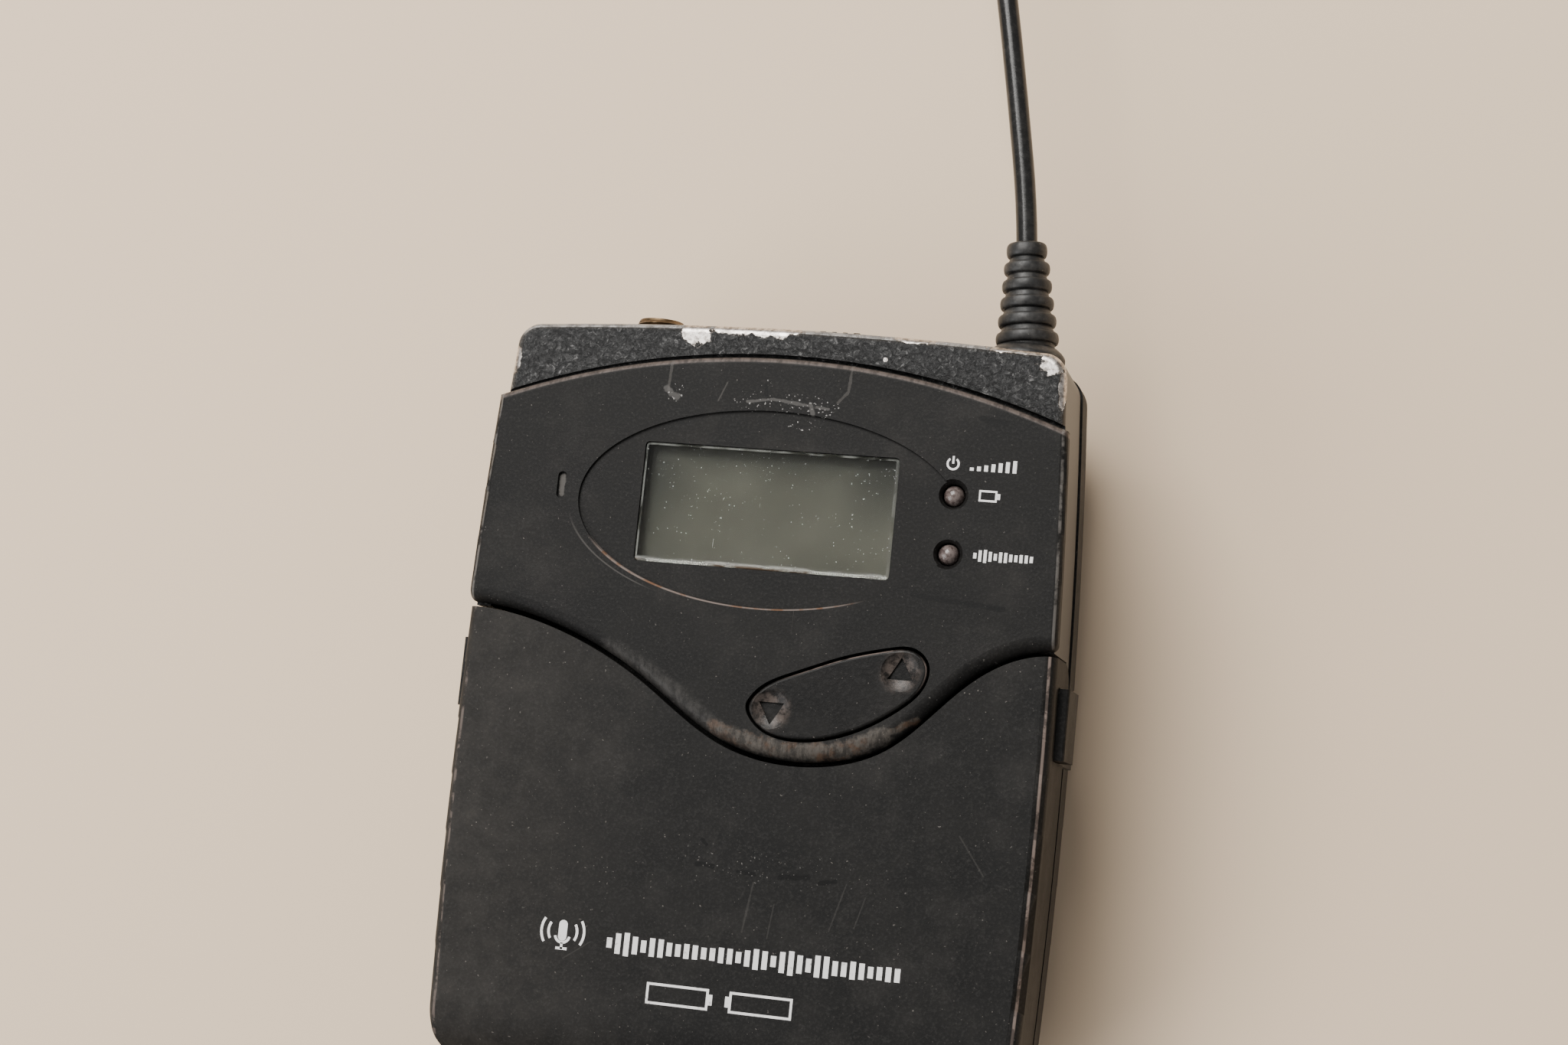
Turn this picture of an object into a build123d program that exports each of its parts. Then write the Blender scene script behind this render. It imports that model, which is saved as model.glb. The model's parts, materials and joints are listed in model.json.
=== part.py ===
from build123d import *
import math
import os

os.makedirs("parts", exist_ok=True)

# A wireless bodypack transmitter lying on its belt clip.
# Millimetres. +Z points out of the front face, +Y towards the antenna end, and +X is to the right
# seen from the front.
# The origin is on the belt clip's outer face, on the case's centre line, 41 mm above its lower end.

# ---------------------------------------------------------------- driving dimensions
TOP_Y = 41.55           # middle of the top end
BOTTOM_Y = -41.0
CASE_WIDTH = 64.0
CASE_DEPTH = 24.0
TOP_BOW = 1.6           # how far each side pulls in from mid-height to the top end
BOTTOM_BOW = 0.95       # and to the bottom end
TOP_CROWN = 1.1         # how far the top end rises in the middle
TOP_CORNER = 3.0
BOTTOM_CORNER = 7.5
WALL = 1.5
CLIP_SHEET = 1.0
CLIP_GAP = 5.0          # room for a belt between the clip and the case

HALF_W = CASE_WIDTH / 2
BACK_Z = CLIP_SHEET + CLIP_GAP
FRONT_Z = BACK_Z + CASE_DEPTH

# Levels through the depth of the case, front to back
PANEL_SHEET = 2.0
COVER_DROP = 0.8        # the battery cover lies this far below the front panel
BAND_DROP = 1.3         # the metal band lies this far below the front panel
PANEL_BACK_Z = FRONT_Z - PANEL_SHEET
COVER_Z = FRONT_Z - COVER_DROP
BAND_Z = FRONT_Z - BAND_DROP
COVER_EDGE_Z = BACK_Z + 11.6
FRAME_Z = BACK_Z + 9.2
SHELL_EDGE_Z = BACK_Z + 8.6
DECK_Z = BACK_Z + 19.6
DECK_SHEET = 1.0
DISPLAY_BOARD_Z = BACK_Z + 17.2
MAIN_BOARD_Z = BACK_Z + 8.0
BOARD_SHEET = 1.6
PORT_Z = BACK_Z + 14.0  # antenna, microphone socket and mute switch share this level

# Front panel outline and openings
FRAME_INSET = 0.45      # the metal frame stands this far inside the panel's outline
ARC_RISE = 37.9         # top of the panel's arched upper edge
ARC_RADIUS = 85.0
SEAM = [(-33.0, 8.9), (-22.0, 7.3), (-11.5, 2.3), (-2.5, -3.4), (6.6, -4.9), (14.8, -2.6),
        (23.4, 5.4), (28.6, 8.3), (33.0, 8.6)]
SEAM_GAP = 0.25         # on each side of the seam
LIP_WALL = 1.3
LIP_ROUND = 1.5         # the rounded front edge along the seam
PANEL_ROUND = 0.75      # and round the rest of the panel
SHELL_INSET = 0.25      # the rear shell stands this far inside the cover's outline
SHELL_ROUND = 4.5       # its rounded back edge

DISPLAY_X = -0.1
DISPLAY_Y = 21.35
DISPLAY_W = 27.7
DISPLAY_H = 12.9
DISPLAY_CORNER = 0.5
RING_HALF_W = 20.7
RING_HALF_H = 10.5
RING_DEPTH = 0.3
LED_X = 19.65
LED_Y = {"led_power": 24.3, "led_peak": 18.15}
LED_R = 1.1
BUTTON_R = 2.3          # the two round buttons under the cover

ROCKER_CENTRE = (9.34, 2.97)
ROCKER_TILT = 20.8      # the rocker's long axis above +X, degrees
ROCKER_OUTLINE = [(-8.95, 1.45), (-7.3, 2.4), (-3.4, 2.85), (1.6, 2.95), (6.5, 2.5), (9.0, 1.7),
                  (9.9, 0.0), (9.0, -1.95), (5.9, -3.55), (0.7, -4.5), (-3.6, -4.2), (-7.0, -2.95),
                  (-9.05, -0.8)]
ROCKER_GAP = 0.3
TOUCH_SPAN = 7.1        # from the rocker's centre to each press point
PIVOT_Z = BACK_Z + 20.05
PIVOT_R = 0.5

CATCH_Y = (-1.9, 5.5)
CATCH_PROUD = 1.1
CATCH_Z = BACK_Z + 20.0
CATCH_STROKE = 1.0

# Batteries
CELL_R = 7.1
CELL_BODY = 49.3
NUB_R = 2.7
NUB_H = 1.1
CELL_Z = BACK_Z + 9.9
CELL_Y = {"cell_upper": -15.2, "cell_lower": -29.6}
TRAY_END_X = 27.0

# Cover hinge
HINGE_Y = -39.15
HINGE_Z = BACK_Z + 8.6
KNUCKLE_R = 1.8
PIN_R = 0.8
RUNNING_GAP = 0.06
COVER_KNUCKLE_X = 11.6
SHELL_KNUCKLE_X = (12.0, 20.0)
PIN_END_X = 20.0

# Ports on the top end
JACK_X = -16.5
JACK_BORE_R = 1.8
JACK_DEPTH = 14.0
COLLAR_R = 2.75
COLLAR_TOP_Y = 42.65
MUTE_X = 4.0
MUTE_TRAVEL = 2.4
ANTENNA_X = 24.5
BOOT_LEAN = 5.4         # degrees towards -X
BOOT_BASE_Y = 42.15
BOOT_TOP_LENGTH = 11.4
FLANGE_Y = 40.6         # underside of the boot's flange
FERRULE_R = 2.6
RIB_PITCH = 1.93
RIB_RADII = [3.4, 3.15, 2.9, 2.7, 2.5]
WHIP_R = 1.15
CORE_R = 0.45
WHIP_ARCS = [(120.0, 4.6), (800.0, 2.0), (1000.0, 3.3)]   # radius, and turn in degrees

# Belt clip
CLIP_ARM_Y = (-1.9, 5.5)
CLIP_PIN_Z = BACK_Z + 7.2
CLIP_PIN_R = 1.2
TONGUE_HALF_W = 17.0
TONGUE_END_Y = -38.0
ARM_SHEET = 1.0
ARM_OUT_X = HALF_W - 0.9
RECESS_FLOOR_X = ARM_OUT_X - ARM_SHEET - 0.3
PIN_SEAT_X = 28.2

# Label, screws and the slotted mark beside the display
LABEL_SIZE = (34.0, 20.0)
LABEL_Y = 22.5
LABEL_DEPTH = 0.35
TAB_PLACE = (-22.7, 22.4)
CASE_SCREWS = [(side * 25.0, y) for side in (-1, 1) for y in (12.0, 28.0)]
BOARD_SCREWS = [(-18.5, 12.0), (18.5, 12.0), (0.0, 34.5)]
POST_R = 2.6

FAR = 50.0              # reaches past the case on any side


# ---------------------------------------------------------------- helpers
def block(x, y, z):
    """A box from its low and high ends along each axis."""
    centre = ((x[0] + x[1]) / 2, (y[0] + y[1]) / 2, (z[0] + z[1]) / 2)
    return Pos(*centre) * Box(x[1] - x[0], y[1] - y[0], z[1] - z[0])


def rod_x(x, y, z, radius):
    """A round bar along X."""
    return Pos((x[0] + x[1]) / 2, y, z) * Rot(0, 90, 0) * Cylinder(radius, x[1] - x[0])


def rod_y(x, y, z, radius):
    """A round bar along Y."""
    return Pos(x, (y[0] + y[1]) / 2, z) * Rot(90, 0, 0) * Cylinder(radius, y[1] - y[0])


def rod_z(x, y, z, radius):
    """A round bar along Z."""
    return Pos(x, y, (z[0] + z[1]) / 2) * Cylinder(radius, z[1] - z[0])


def slab(face, z):
    """A flat outline carried from one level to another."""
    return extrude(Pos(0, 0, z[0]) * face, z[1] - z[0])


def side_profile(points, x):
    """A closed outline of (y, z) points carried along X."""
    wire = Polyline(*[(x[0], y, z) for y, z in points], close=True)
    return extrude(make_face(wire), x[1] - x[0], dir=(1, 0, 0))


def both_sides(shape):
    """The shape and its mirror image in the YZ plane."""
    return [shape, mirror(shape, Plane.YZ)]


def case_face(inset):
    """The case seen from the front, drawn in by an even margin."""
    middle_x = HALF_W - inset
    low_x = middle_x - BOTTOM_BOW
    high_x = middle_x - TOP_BOW
    low_y = BOTTOM_Y + inset
    shoulder_y = TOP_Y - TOP_CROWN - inset
    outline = [
        Line((-low_x, low_y), (low_x, low_y)),
        ThreePointArc((low_x, low_y), (middle_x, 0), (high_x, shoulder_y)),
        ThreePointArc((high_x, shoulder_y), (0, TOP_Y - inset), (-high_x, shoulder_y)),
        ThreePointArc((-high_x, shoulder_y), (-middle_x, 0), (-low_x, low_y)),
    ]
    face = make_face(outline)
    face = fillet(face.vertices().sort_by(Axis.Y)[:2], BOTTOM_CORNER - inset)
    return fillet(face.vertices().sort_by(Axis.Y)[-2:], max(TOP_CORNER - inset, 0.6))


def seam_face(shift, height):
    """Everything from the S-shaped seam, moved up by shift, to a level line."""
    left, right = SEAM[0][0], SEAM[-1][0]
    seam = Spline(*[(x, y + shift) for x, y in SEAM])
    sides = Polyline(seam @ 1, (right, height), (left, height), seam @ 0)
    return make_face([seam, sides])


def arch_face(gap):
    """Everything under the panel's arched upper edge, drawn down by a gap."""
    low_y = BOTTOM_Y - 5
    half = HALF_W + 2
    rise = ARC_RISE - gap
    end_y = rise - ARC_RADIUS + math.sqrt(ARC_RADIUS ** 2 - half ** 2)
    arch = ThreePointArc((-half, end_y), (0, rise), (half, end_y))
    return make_face([arch, Polyline(arch @ 1, (half, low_y), (-half, low_y), arch @ 0)])


def rocker_face(margin):
    """The rocker's leaf-shaped outline, grown by a margin, in place."""
    half_length = 9.6
    half_width = 3.75
    middle_y = -0.8
    stretch_x = 1 + margin / half_length
    stretch_y = 1 + margin / half_width
    points = [(x * stretch_x, middle_y + (y - middle_y) * stretch_y) for x, y in ROCKER_OUTLINE]
    leaf = make_face(Spline(*points, periodic=True))
    return Pos(*ROCKER_CENTRE) * Rot(0, 0, ROCKER_TILT) * leaf


def rocker_point(along, z):
    """A point on the rocker's long axis."""
    turn = math.radians(ROCKER_TILT)
    return Pos(ROCKER_CENTRE[0] + along * math.cos(turn), ROCKER_CENTRE[1] + along * math.sin(turn), z)


# ---------------------------------------------------------------- housing
def make_rear_shell():
    """The moulded back: locating lip, screw posts, clip recesses and hinge knuckles."""
    inner_round = 2.0
    lip_inset = 1.1
    lip_wall = 1.2
    lip_foot_z = BACK_Z + 4.0
    frame_foot_y = -3.4
    head_r = 2.4
    head_seat_z = BACK_Z + 1.9
    floor_z = BACK_Z + WALL
    outer = slab(case_face(SHELL_INSET), (BACK_Z, SHELL_EDGE_Z))
    outer = fillet(outer.faces().sort_by(Axis.Z)[0].edges(), SHELL_ROUND)
    hollow = slab(case_face(WALL + 0.4), (floor_z, FRONT_Z))
    shell = outer - fillet(hollow.faces().sort_by(Axis.Z)[0].edges(), inner_round)
    lip = slab(case_face(lip_inset), (lip_foot_z, COVER_EDGE_Z - 0.3))
    lip -= slab(case_face(lip_inset + lip_wall), (BACK_Z, FRONT_Z))
    lip -= block((-FAR, FAR), (frame_foot_y, FAR), (FRAME_Z - 0.1, FRONT_Z))
    shell += lip
    for x, y in CASE_SCREWS:
        shell += rod_z(x, y, (floor_z - 0.2, FRAME_Z - 0.1), POST_R)
        shell -= rod_z(x, y, (BACK_Z - 1, FRAME_Z), 1.35)
        shell -= rod_z(x, y, (BACK_Z - 1, head_seat_z), head_r)
    for x, y in BOARD_SCREWS:
        shell += rod_z(x, y, (floor_z - 0.2, MAIN_BOARD_Z - BOARD_SHEET), 1.9)
        shell -= rod_z(x, y, (floor_z + 1, MAIN_BOARD_Z), 0.75)
    for pad in clip_blocks():
        shell += pad & outer
    for cut in clip_recesses():
        shell -= cut
    shell -= slab(label_face(0.3), (BACK_Z - 1, BACK_Z + LABEL_DEPTH))
    for barrel in shell_knuckles():
        shell += barrel
    for cut in hinge_clearance():
        shell -= cut
    return shell


def clip_blocks():
    """Solid pads inside the side walls that carry the belt clip's pins."""
    pad = block((27.8, 31.0), (-4.2, 8.6), (BACK_Z + 0.6, SHELL_EDGE_Z))
    return both_sides(pad)


def clip_recesses():
    """Side pockets where the clip's arms swing, and the bores for its pins."""
    clear = 0.35
    swing = 1.5
    low_y, high_y = CLIP_ARM_Y
    points = [(low_y - clear, BACK_Z - 1), (high_y + clear + swing, BACK_Z - 1),
              (high_y + clear, CLIP_PIN_Z + 0.6), (high_y + clear, SHELL_EDGE_Z + 1),
              (low_y - clear, SHELL_EDGE_Z + 1)]
    pocket = side_profile(points, (RECESS_FLOOR_X, HALF_W + 1))
    middle_y = sum(CLIP_ARM_Y) / 2
    bore = rod_x((PIN_SEAT_X, HALF_W), middle_y, CLIP_PIN_Z, CLIP_PIN_R + RUNNING_GAP)
    return both_sides(pocket) + both_sides(bore)


def shell_knuckles():
    """The two outer barrels of the cover hinge."""
    barrel = rod_x(SHELL_KNUCKLE_X, HINGE_Y, HINGE_Z, KNUCKLE_R)
    foot = block(SHELL_KNUCKLE_X, (HINGE_Y - KNUCKLE_R, HINGE_Y + 1.0), (HINGE_Z - 3.5, HINGE_Z))
    return both_sides(barrel) + both_sides(foot)


def hinge_clearance():
    """Room for the hinge pin and for the cover's middle barrel to turn."""
    turn_r = KNUCKLE_R + 0.3
    half = COVER_KNUCKLE_X + 0.35
    pin = rod_x((-PIN_END_X - 0.6, PIN_END_X + 0.6), HINGE_Y, HINGE_Z, PIN_R + 0.02)
    barrel = rod_x((-half, half), HINGE_Y, HINGE_Z, turn_r)
    above = block((-half, half), (BOTTOM_Y - 1, HINGE_Y + turn_r), (HINGE_Z, FRONT_Z))
    front = block((-half, half), (BOTTOM_Y - 1, HINGE_Y), (HINGE_Z - turn_r, HINGE_Z))
    return [pin, barrel, above, front]


def make_chassis_frame():
    """The die-cast frame: top end, upper side walls, side strips and the band above the front panel."""
    wall = 1.6
    band_sheet = 1.5
    edge_round = 0.9
    foot_y = -3.2
    mute_half_w = 2.4
    mute_half_h = 1.2
    body = slab(case_face(FRAME_INSET), (FRAME_Z, BAND_Z))
    body = fillet(body.faces().sort_by(Axis.Z)[-1].edges(), edge_round)
    hollow = slab(case_face(FRAME_INSET + wall), (FRAME_Z - 1, BAND_Z - band_sheet))
    frame = body - hollow + top_wall(wall)
    panel_seat = case_face(-1) & arch_face(-SEAM_GAP)
    frame -= slab(panel_seat, (PANEL_BACK_Z - 0.02, FRONT_Z))
    window = arch_face(2.6) & case_face(FRAME_INSET + wall)
    frame -= slab(window, (BAND_Z - band_sheet - 3, FRONT_Z))
    frame -= block((-FAR, FAR), (-FAR, SEAM[-1][1] + 0.3), (COVER_EDGE_Z - 0.2, FRONT_Z))
    frame -= block((-FAR, FAR), (-FAR, foot_y), (0, FRONT_Z))
    post_z = (FRAME_Z, DECK_Z - DECK_SHEET - 0.1)
    for x, y in CASE_SCREWS:
        web_end = math.copysign(30.0, x)
        frame += rod_z(x, y, post_z, POST_R)
        frame += block(sorted((x, web_end)), (y - 1, y + 1), post_z)
        frame -= rod_z(x, y, (FRAME_Z - 1, FRAME_Z + 7), 1.22)
    frame -= rod_y(JACK_X, (35, 45), PORT_Z, COLLAR_R + 0.02)
    frame -= rod_y(ANTENNA_X, (34, 45), PORT_Z, FERRULE_R + 0.02)
    mute_x = (MUTE_X - mute_half_w, MUTE_X + mute_half_w + MUTE_TRAVEL)
    frame -= block(mute_x, (37, 45), (PORT_Z - mute_half_h, PORT_Z + mute_half_h))
    return frame


def top_wall(wall):
    """The thick end wall that carries the ports."""
    end = slab(case_face(FRAME_INSET), (FRAME_Z, BAND_Z - 1.2))
    return end & block((-FAR, FAR), (TOP_Y - TOP_CROWN - wall, FAR), (FRAME_Z, FRONT_Z))


def make_front_panel():
    """The moulded front: arched top edge, S-shaped lower lip, openings, and the button deck."""
    face = case_face(0) & arch_face(SEAM_GAP) & seam_face(SEAM_GAP, 60)
    panel = slab(face, (PANEL_BACK_Z, FRONT_Z))
    lip_edges = panel.faces().sort_by(Axis.Z)[-1].edges().filter_by(GeomType.BSPLINE)
    panel = fillet(lip_edges, LIP_ROUND)
    rim_edges = panel.faces().sort_by(Axis.Z)[-1].edges().filter_by(GeomType.BSPLINE, reverse=True)
    panel = fillet(rim_edges, PANEL_ROUND)
    deck_w = 51.0
    deck_h = 24.6
    deck_y = 5.0
    deck_floor = DECK_Z - DECK_SHEET
    behind_lip = seam_face(SEAM_GAP + LIP_WALL, 61)
    lip = (seam_face(SEAM_GAP, 60) - behind_lip) & Pos(0, deck_y) * Rectangle(deck_w, FAR)
    deck = Pos(0, deck_y) * Rectangle(deck_w, deck_h) - behind_lip
    panel += slab(lip, (deck_floor, PANEL_BACK_Z + 0.2))
    panel += slab(deck, (deck_floor, DECK_Z))
    for x, y in button_places().values():
        panel -= rod_z(x, y, (deck_floor - 1, DECK_Z + 1), BUTTON_R + 0.25)
    panel -= slab(rocker_face(ROCKER_GAP), (PANEL_BACK_Z - 1, FRONT_Z + 1))
    ring = Pos(0, DISPLAY_Y) * Ellipse(RING_HALF_W, RING_HALF_H)
    panel -= slab(ring, (FRONT_Z - RING_DEPTH, FRONT_Z + 1))
    display = Pos(DISPLAY_X, DISPLAY_Y) * RectangleRounded(DISPLAY_W, DISPLAY_H, DISPLAY_CORNER)
    panel -= slab(display, (PANEL_BACK_Z - 1, FRONT_Z + 1))
    for y in LED_Y.values():
        panel -= rod_z(LED_X, y, (PANEL_BACK_Z - 1, FRONT_Z + 1), LED_R + 0.12)
        panel -= Pos(LED_X, y, FRONT_Z - 0.45) * Cone(LED_R + 0.1, LED_R + 0.55, 0.9)
    tab = Pos(*TAB_PLACE) * SlotOverall(2.9, 1.0, rotation=90)
    panel -= slab(tab, (FRONT_Z - 0.35, FRONT_Z + 1))
    return panel


def label_face(margin):
    """The outline of the plate on the back, grown by a margin."""
    width, height = LABEL_SIZE
    return Pos(0, LABEL_Y) * RectangleRounded(width + 2 * margin, height + 2 * margin, 1 + margin)


def make_rear_label():
    """A blank plate let into the back."""
    return slab(label_face(0), (BACK_Z + 0.05, BACK_Z + LABEL_DEPTH))


# ---------------------------------------------------------------- battery cover and its catches
def cover_profile(margin, roll):
    """The cover seen from the side, with its lower front edge rolled away."""
    top_z = COVER_Z - margin
    low_y = BOTTOM_Y + margin
    arc_start = (0, low_y, top_z - roll)
    arc_end = (0, low_y + roll, top_z)
    corner_pull = roll * (1 - math.sqrt(0.5))
    arc_middle = (0, low_y + corner_pull, top_z - corner_pull)
    edges = [ThreePointArc(arc_start, arc_middle, arc_end),
             Polyline(arc_end, (0, 30, top_z), (0, 30, 0), (0, low_y, 0), arc_start)]
    solid = extrude(make_face(edges), HALF_W + 5, dir=(1, 0, 0), both=True)
    return solid


def make_battery_cover():
    """The cover: front, sides and lower end in one shell, with its barrel and catch pockets."""
    roll = 8.0
    edge_round = 1.3
    below_seam = Rectangle(90, 120) - seam_face(-SEAM_GAP, 70)
    outer = slab(case_face(0), (COVER_EDGE_Z, COVER_Z))
    outer = fillet(outer.faces().sort_by(Axis.Z)[-1].edges(), edge_round) & cover_profile(0, roll)
    inner = slab(case_face(WALL), (0, COVER_Z - WALL)) & cover_profile(WALL, roll - WALL)
    cover = outer - inner
    cover &= slab(below_seam, (0, FRONT_Z))
    corner = 3.0
    side_top = SEAM[-1][1] - SEAM_GAP
    nick_z = (COVER_EDGE_Z - 2, COVER_EDGE_Z + corner)
    nick = block((-FAR, FAR), (side_top - corner, side_top + corner), nick_z)
    nick -= rod_x((-FAR - 1, FAR + 1), side_top - corner, COVER_EDGE_Z + corner, corner)
    cover -= nick
    cover += cover_barrel()
    cover -= rod_x((-PIN_END_X, PIN_END_X), HINGE_Y, HINGE_Z, PIN_R + RUNNING_GAP)
    clear = 0.12
    notch = block((28, 40), (CATCH_Y[0] - clear, CATCH_Y[1] + clear), (0, CATCH_Z + clear))
    for cut in both_sides(notch):
        cover -= cut
    rib = block((26.2, 27.0), (-1.2, 4.8), (COVER_EDGE_Z + 1.5, COVER_Z - WALL + 0.2))
    for stop in both_sides(rib):
        cover += stop
    return cover


def cover_barrel():
    """The middle barrel of the hinge and the tongue of wall that joins it to the cover."""
    span = (-COVER_KNUCKLE_X, COVER_KNUCKLE_X)
    barrel = rod_x(span, HINGE_Y, HINGE_Z, KNUCKLE_R)
    neck = block(span, (HINGE_Y - KNUCKLE_R, BOTTOM_Y + WALL), (HINGE_Z, COVER_EDGE_Z + 0.5))
    return barrel + neck


def make_catch(side):
    """A spring-loaded catch: the finger pad through the side wall and the flange that keeps it in."""
    lower, upper = CATCH_Y
    pad = block((29.6, HALF_W + CATCH_PROUD), CATCH_Y, (COVER_EDGE_Z + 0.1, CATCH_Z))
    pad = fillet(pad.edges().filter_by(Axis.Y).sort_by(Axis.X)[-2:], 0.35)
    flange = block((29.6, 30.2), (lower - 0.7, upper + 0.7), (COVER_EDGE_Z + 0.1, CATCH_Z + 0.9))
    stem = rod_x((28.5, 29.7), sum(CATCH_Y) / 2, (COVER_EDGE_Z + CATCH_Z) / 2, 1.0)
    catch = pad + flange + stem
    return catch if side > 0 else mirror(catch, Plane.YZ)


def make_catch_spring(side):
    """A small coil spring between a catch and the rib behind it."""
    start_x, end_x = 27.15, 29.45
    wire = 0.16
    coil_r = 1.35
    path = Helix(pitch=0.62, height=end_x - start_x - 2 * wire, radius=coil_r)
    ring = Plane(origin=path @ 0, z_dir=path % 0) * Circle(wire)
    coil = sweep(ring, path=path, is_frenet=True)
    middle_y = sum(CATCH_Y) / 2
    coil = Pos(start_x + wire, middle_y, (COVER_EDGE_Z + CATCH_Z) / 2) * Rot(0, 90, 0) * coil
    return coil if side > 0 else mirror(coil, Plane.YZ)


# ---------------------------------------------------------------- buttons and switch
def button_places():
    """Centres of the two round buttons on the deck under the cover."""
    return {"set_button": (-20.5, 0.2), "power_button": (-12.6, -3.4)}


def make_deck_button(place):
    """A round push button with a wider foot that keeps it in the deck."""
    x, y = place
    deck_floor = DECK_Z - DECK_SHEET
    cap = rod_z(x, y, (deck_floor - 0.2, DECK_Z + 0.6), BUTTON_R)
    cap = fillet(cap.edges().sort_by(Axis.Z)[-1], 0.3)
    foot = rod_z(x, y, (deck_floor - 0.4, deck_floor - 0.05), BUTTON_R + 0.6)
    return cap + foot


def make_rocker_button():
    """The leaf-shaped rocker with two dished press points, each with a triangular mark."""
    foot_z = PANEL_BACK_Z - 1.9
    cap = slab(rocker_face(0), (foot_z + 0.5, FRONT_Z + 0.05))
    cap = fillet(cap.faces().sort_by(Axis.Z)[-1].edges(), 0.3)
    foot = slab(rocker_face(0.8), (foot_z, foot_z + 0.9))
    rocker = cap + foot - rocker_axle(PIVOT_R + 0.1, 7.0)
    dish_r = 4.4
    dish_depth = 0.45
    mark = 1.56
    for end in (-1, 1):
        place = rocker_point(end * TOUCH_SPAN, FRONT_Z + dish_r - dish_depth)
        rocker -= place * Sphere(dish_r)
        arrow = RegularPolygon(mark, 3, rotation=end * 90 - ROCKER_TILT)
        spot = rocker_point(end * TOUCH_SPAN, FRONT_Z - dish_depth - 0.15) * Rot(0, 0, ROCKER_TILT)
        rocker -= extrude(spot * arrow, 1)
    return rocker


def rocker_axle(radius, length):
    """A round bar on the axis that the rocker tips about."""
    return rocker_point(0, PIVOT_Z) * Rot(0, 0, ROCKER_TILT) * Rot(90, 0, 0) * Cylinder(radius, length)


def make_rocker_saddle():
    """The round-topped ridge on the display board that the rocker tips over."""
    length = 6.0
    foot_z = (DISPLAY_BOARD_Z, PIVOT_Z - 1.0)
    web_z = (PIVOT_Z - 1.1, PIVOT_Z)
    foot = block((-1.5, 1.5), (-length / 2, length / 2), foot_z)
    web = block((-0.4, 0.4), (-length / 2, length / 2), web_z)
    return rocker_point(0, 0) * Rot(0, 0, ROCKER_TILT) * (foot + web) + rocker_axle(PIVOT_R, length)


def make_switch_domes():
    """Four snap domes on the display board: two for the rocker and one for each deck button."""
    rise = 0.25
    press_points = [rocker_point(end * TOUCH_SPAN, 0).position for end in (-1, 1)]
    places = [(point.X, point.Y) for point in press_points] + list(button_places().values())
    dome_z = (DISPLAY_BOARD_Z, DISPLAY_BOARD_Z + rise)
    return Compound([rod_z(x, y, dome_z, 1.8) for x, y in places])


def make_mute_switch_body():
    """The slide switch inside the top end."""
    return block((MUTE_X - 5.0, MUTE_X + 5.0 + MUTE_TRAVEL), (30.0, 35.6), (PORT_Z - 2.6, PORT_Z + 2.6))


def make_mute_knob():
    """The sliding knob: a guide plate under the end wall and a ribbed finger piece above it."""
    plate = block((MUTE_X - 3.4, MUTE_X + 3.4), (35.8, 37.4), (PORT_Z - 2.0, PORT_Z + 2.0))
    finger_y = 42.5
    finger = block((MUTE_X - 2.2, MUTE_X + 2.2), (37.3, finger_y), (PORT_Z - 1.0, PORT_Z + 1.0))
    for step in (-1, 0, 1):
        finger -= rod_z(MUTE_X + step * 1.2, finger_y + 0.15, (PORT_Z - 2, PORT_Z + 2), 0.4)
    return plate + finger


# ---------------------------------------------------------------- display and electronics
def make_lcd_window():
    """The clear window, bevelled all round, with a flange behind the panel."""
    clear = 0.06
    bevel = 0.3
    middle = Pos(DISPLAY_X, DISPLAY_Y)
    width, height = DISPLAY_W - 2 * clear, DISPLAY_H - 2 * clear
    outline = middle * RectangleRounded(width, height, DISPLAY_CORNER - clear)
    pane = slab(outline, (PANEL_BACK_Z - 0.3, FRONT_Z - RING_DEPTH + 0.05))
    pane = chamfer(pane.faces().sort_by(Axis.Z)[-1].edges(), bevel)
    back = middle * Rectangle(DISPLAY_W + 2.4, DISPLAY_H + 2.4)
    return pane + slab(back, (PANEL_BACK_Z - 0.75, PANEL_BACK_Z - 0.05))


def make_lcd_module():
    """The display glass behind the window."""
    glass = Pos(DISPLAY_X, DISPLAY_Y) * Rectangle(33.0, 16.4)
    return slab(glass, (PANEL_BACK_Z - 2.9, PANEL_BACK_Z - 0.85))


def make_lcd_holder():
    """The frame that holds the display glass off the display board."""
    outer = Pos(DISPLAY_X, DISPLAY_Y) * Rectangle(35.6, 18.6)
    inner = Pos(DISPLAY_X, DISPLAY_Y) * Rectangle(33.3, 16.7)
    shelf = Pos(DISPLAY_X, DISPLAY_Y) * Rectangle(29.0, 10.4)
    holder = slab(outer - inner, (DISPLAY_BOARD_Z, PANEL_BACK_Z - 1.0))
    slots = [Pos(DISPLAY_X, DISPLAY_Y + side * 6.6) * Rectangle(27.0, 1.7) for side in (-1, 1)]
    floor = slab(outer - shelf, (DISPLAY_BOARD_Z, PANEL_BACK_Z - 3.0))
    for slot in slots:
        floor -= slab(slot, (0, FRONT_Z))
    return holder + floor


def make_lcd_strips():
    """The two rubber contact strips between the glass and the board."""
    strips = [slab(Pos(DISPLAY_X, DISPLAY_Y + side * 6.6) * Rectangle(26.6, 1.4),
                   (DISPLAY_BOARD_Z, PANEL_BACK_Z - 2.9)) for side in (-1, 1)]
    return Compound(strips)


def make_display_board():
    """The board behind the front panel, with a tongue under the rocker and the deck buttons."""
    sheet_z = (DISPLAY_BOARD_Z - BOARD_SHEET, DISPLAY_BOARD_Z)
    upper = block((-21.4, 21.4), (9.0, 28.4), sheet_z)
    lower = block((-24.0, 20.0), (-6.6, 9.5), sheet_z)
    jack_notch = block((-22.0, -12.4), (27.2, 29.0), (0, FRONT_Z))
    return upper + lower - jack_notch


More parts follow.
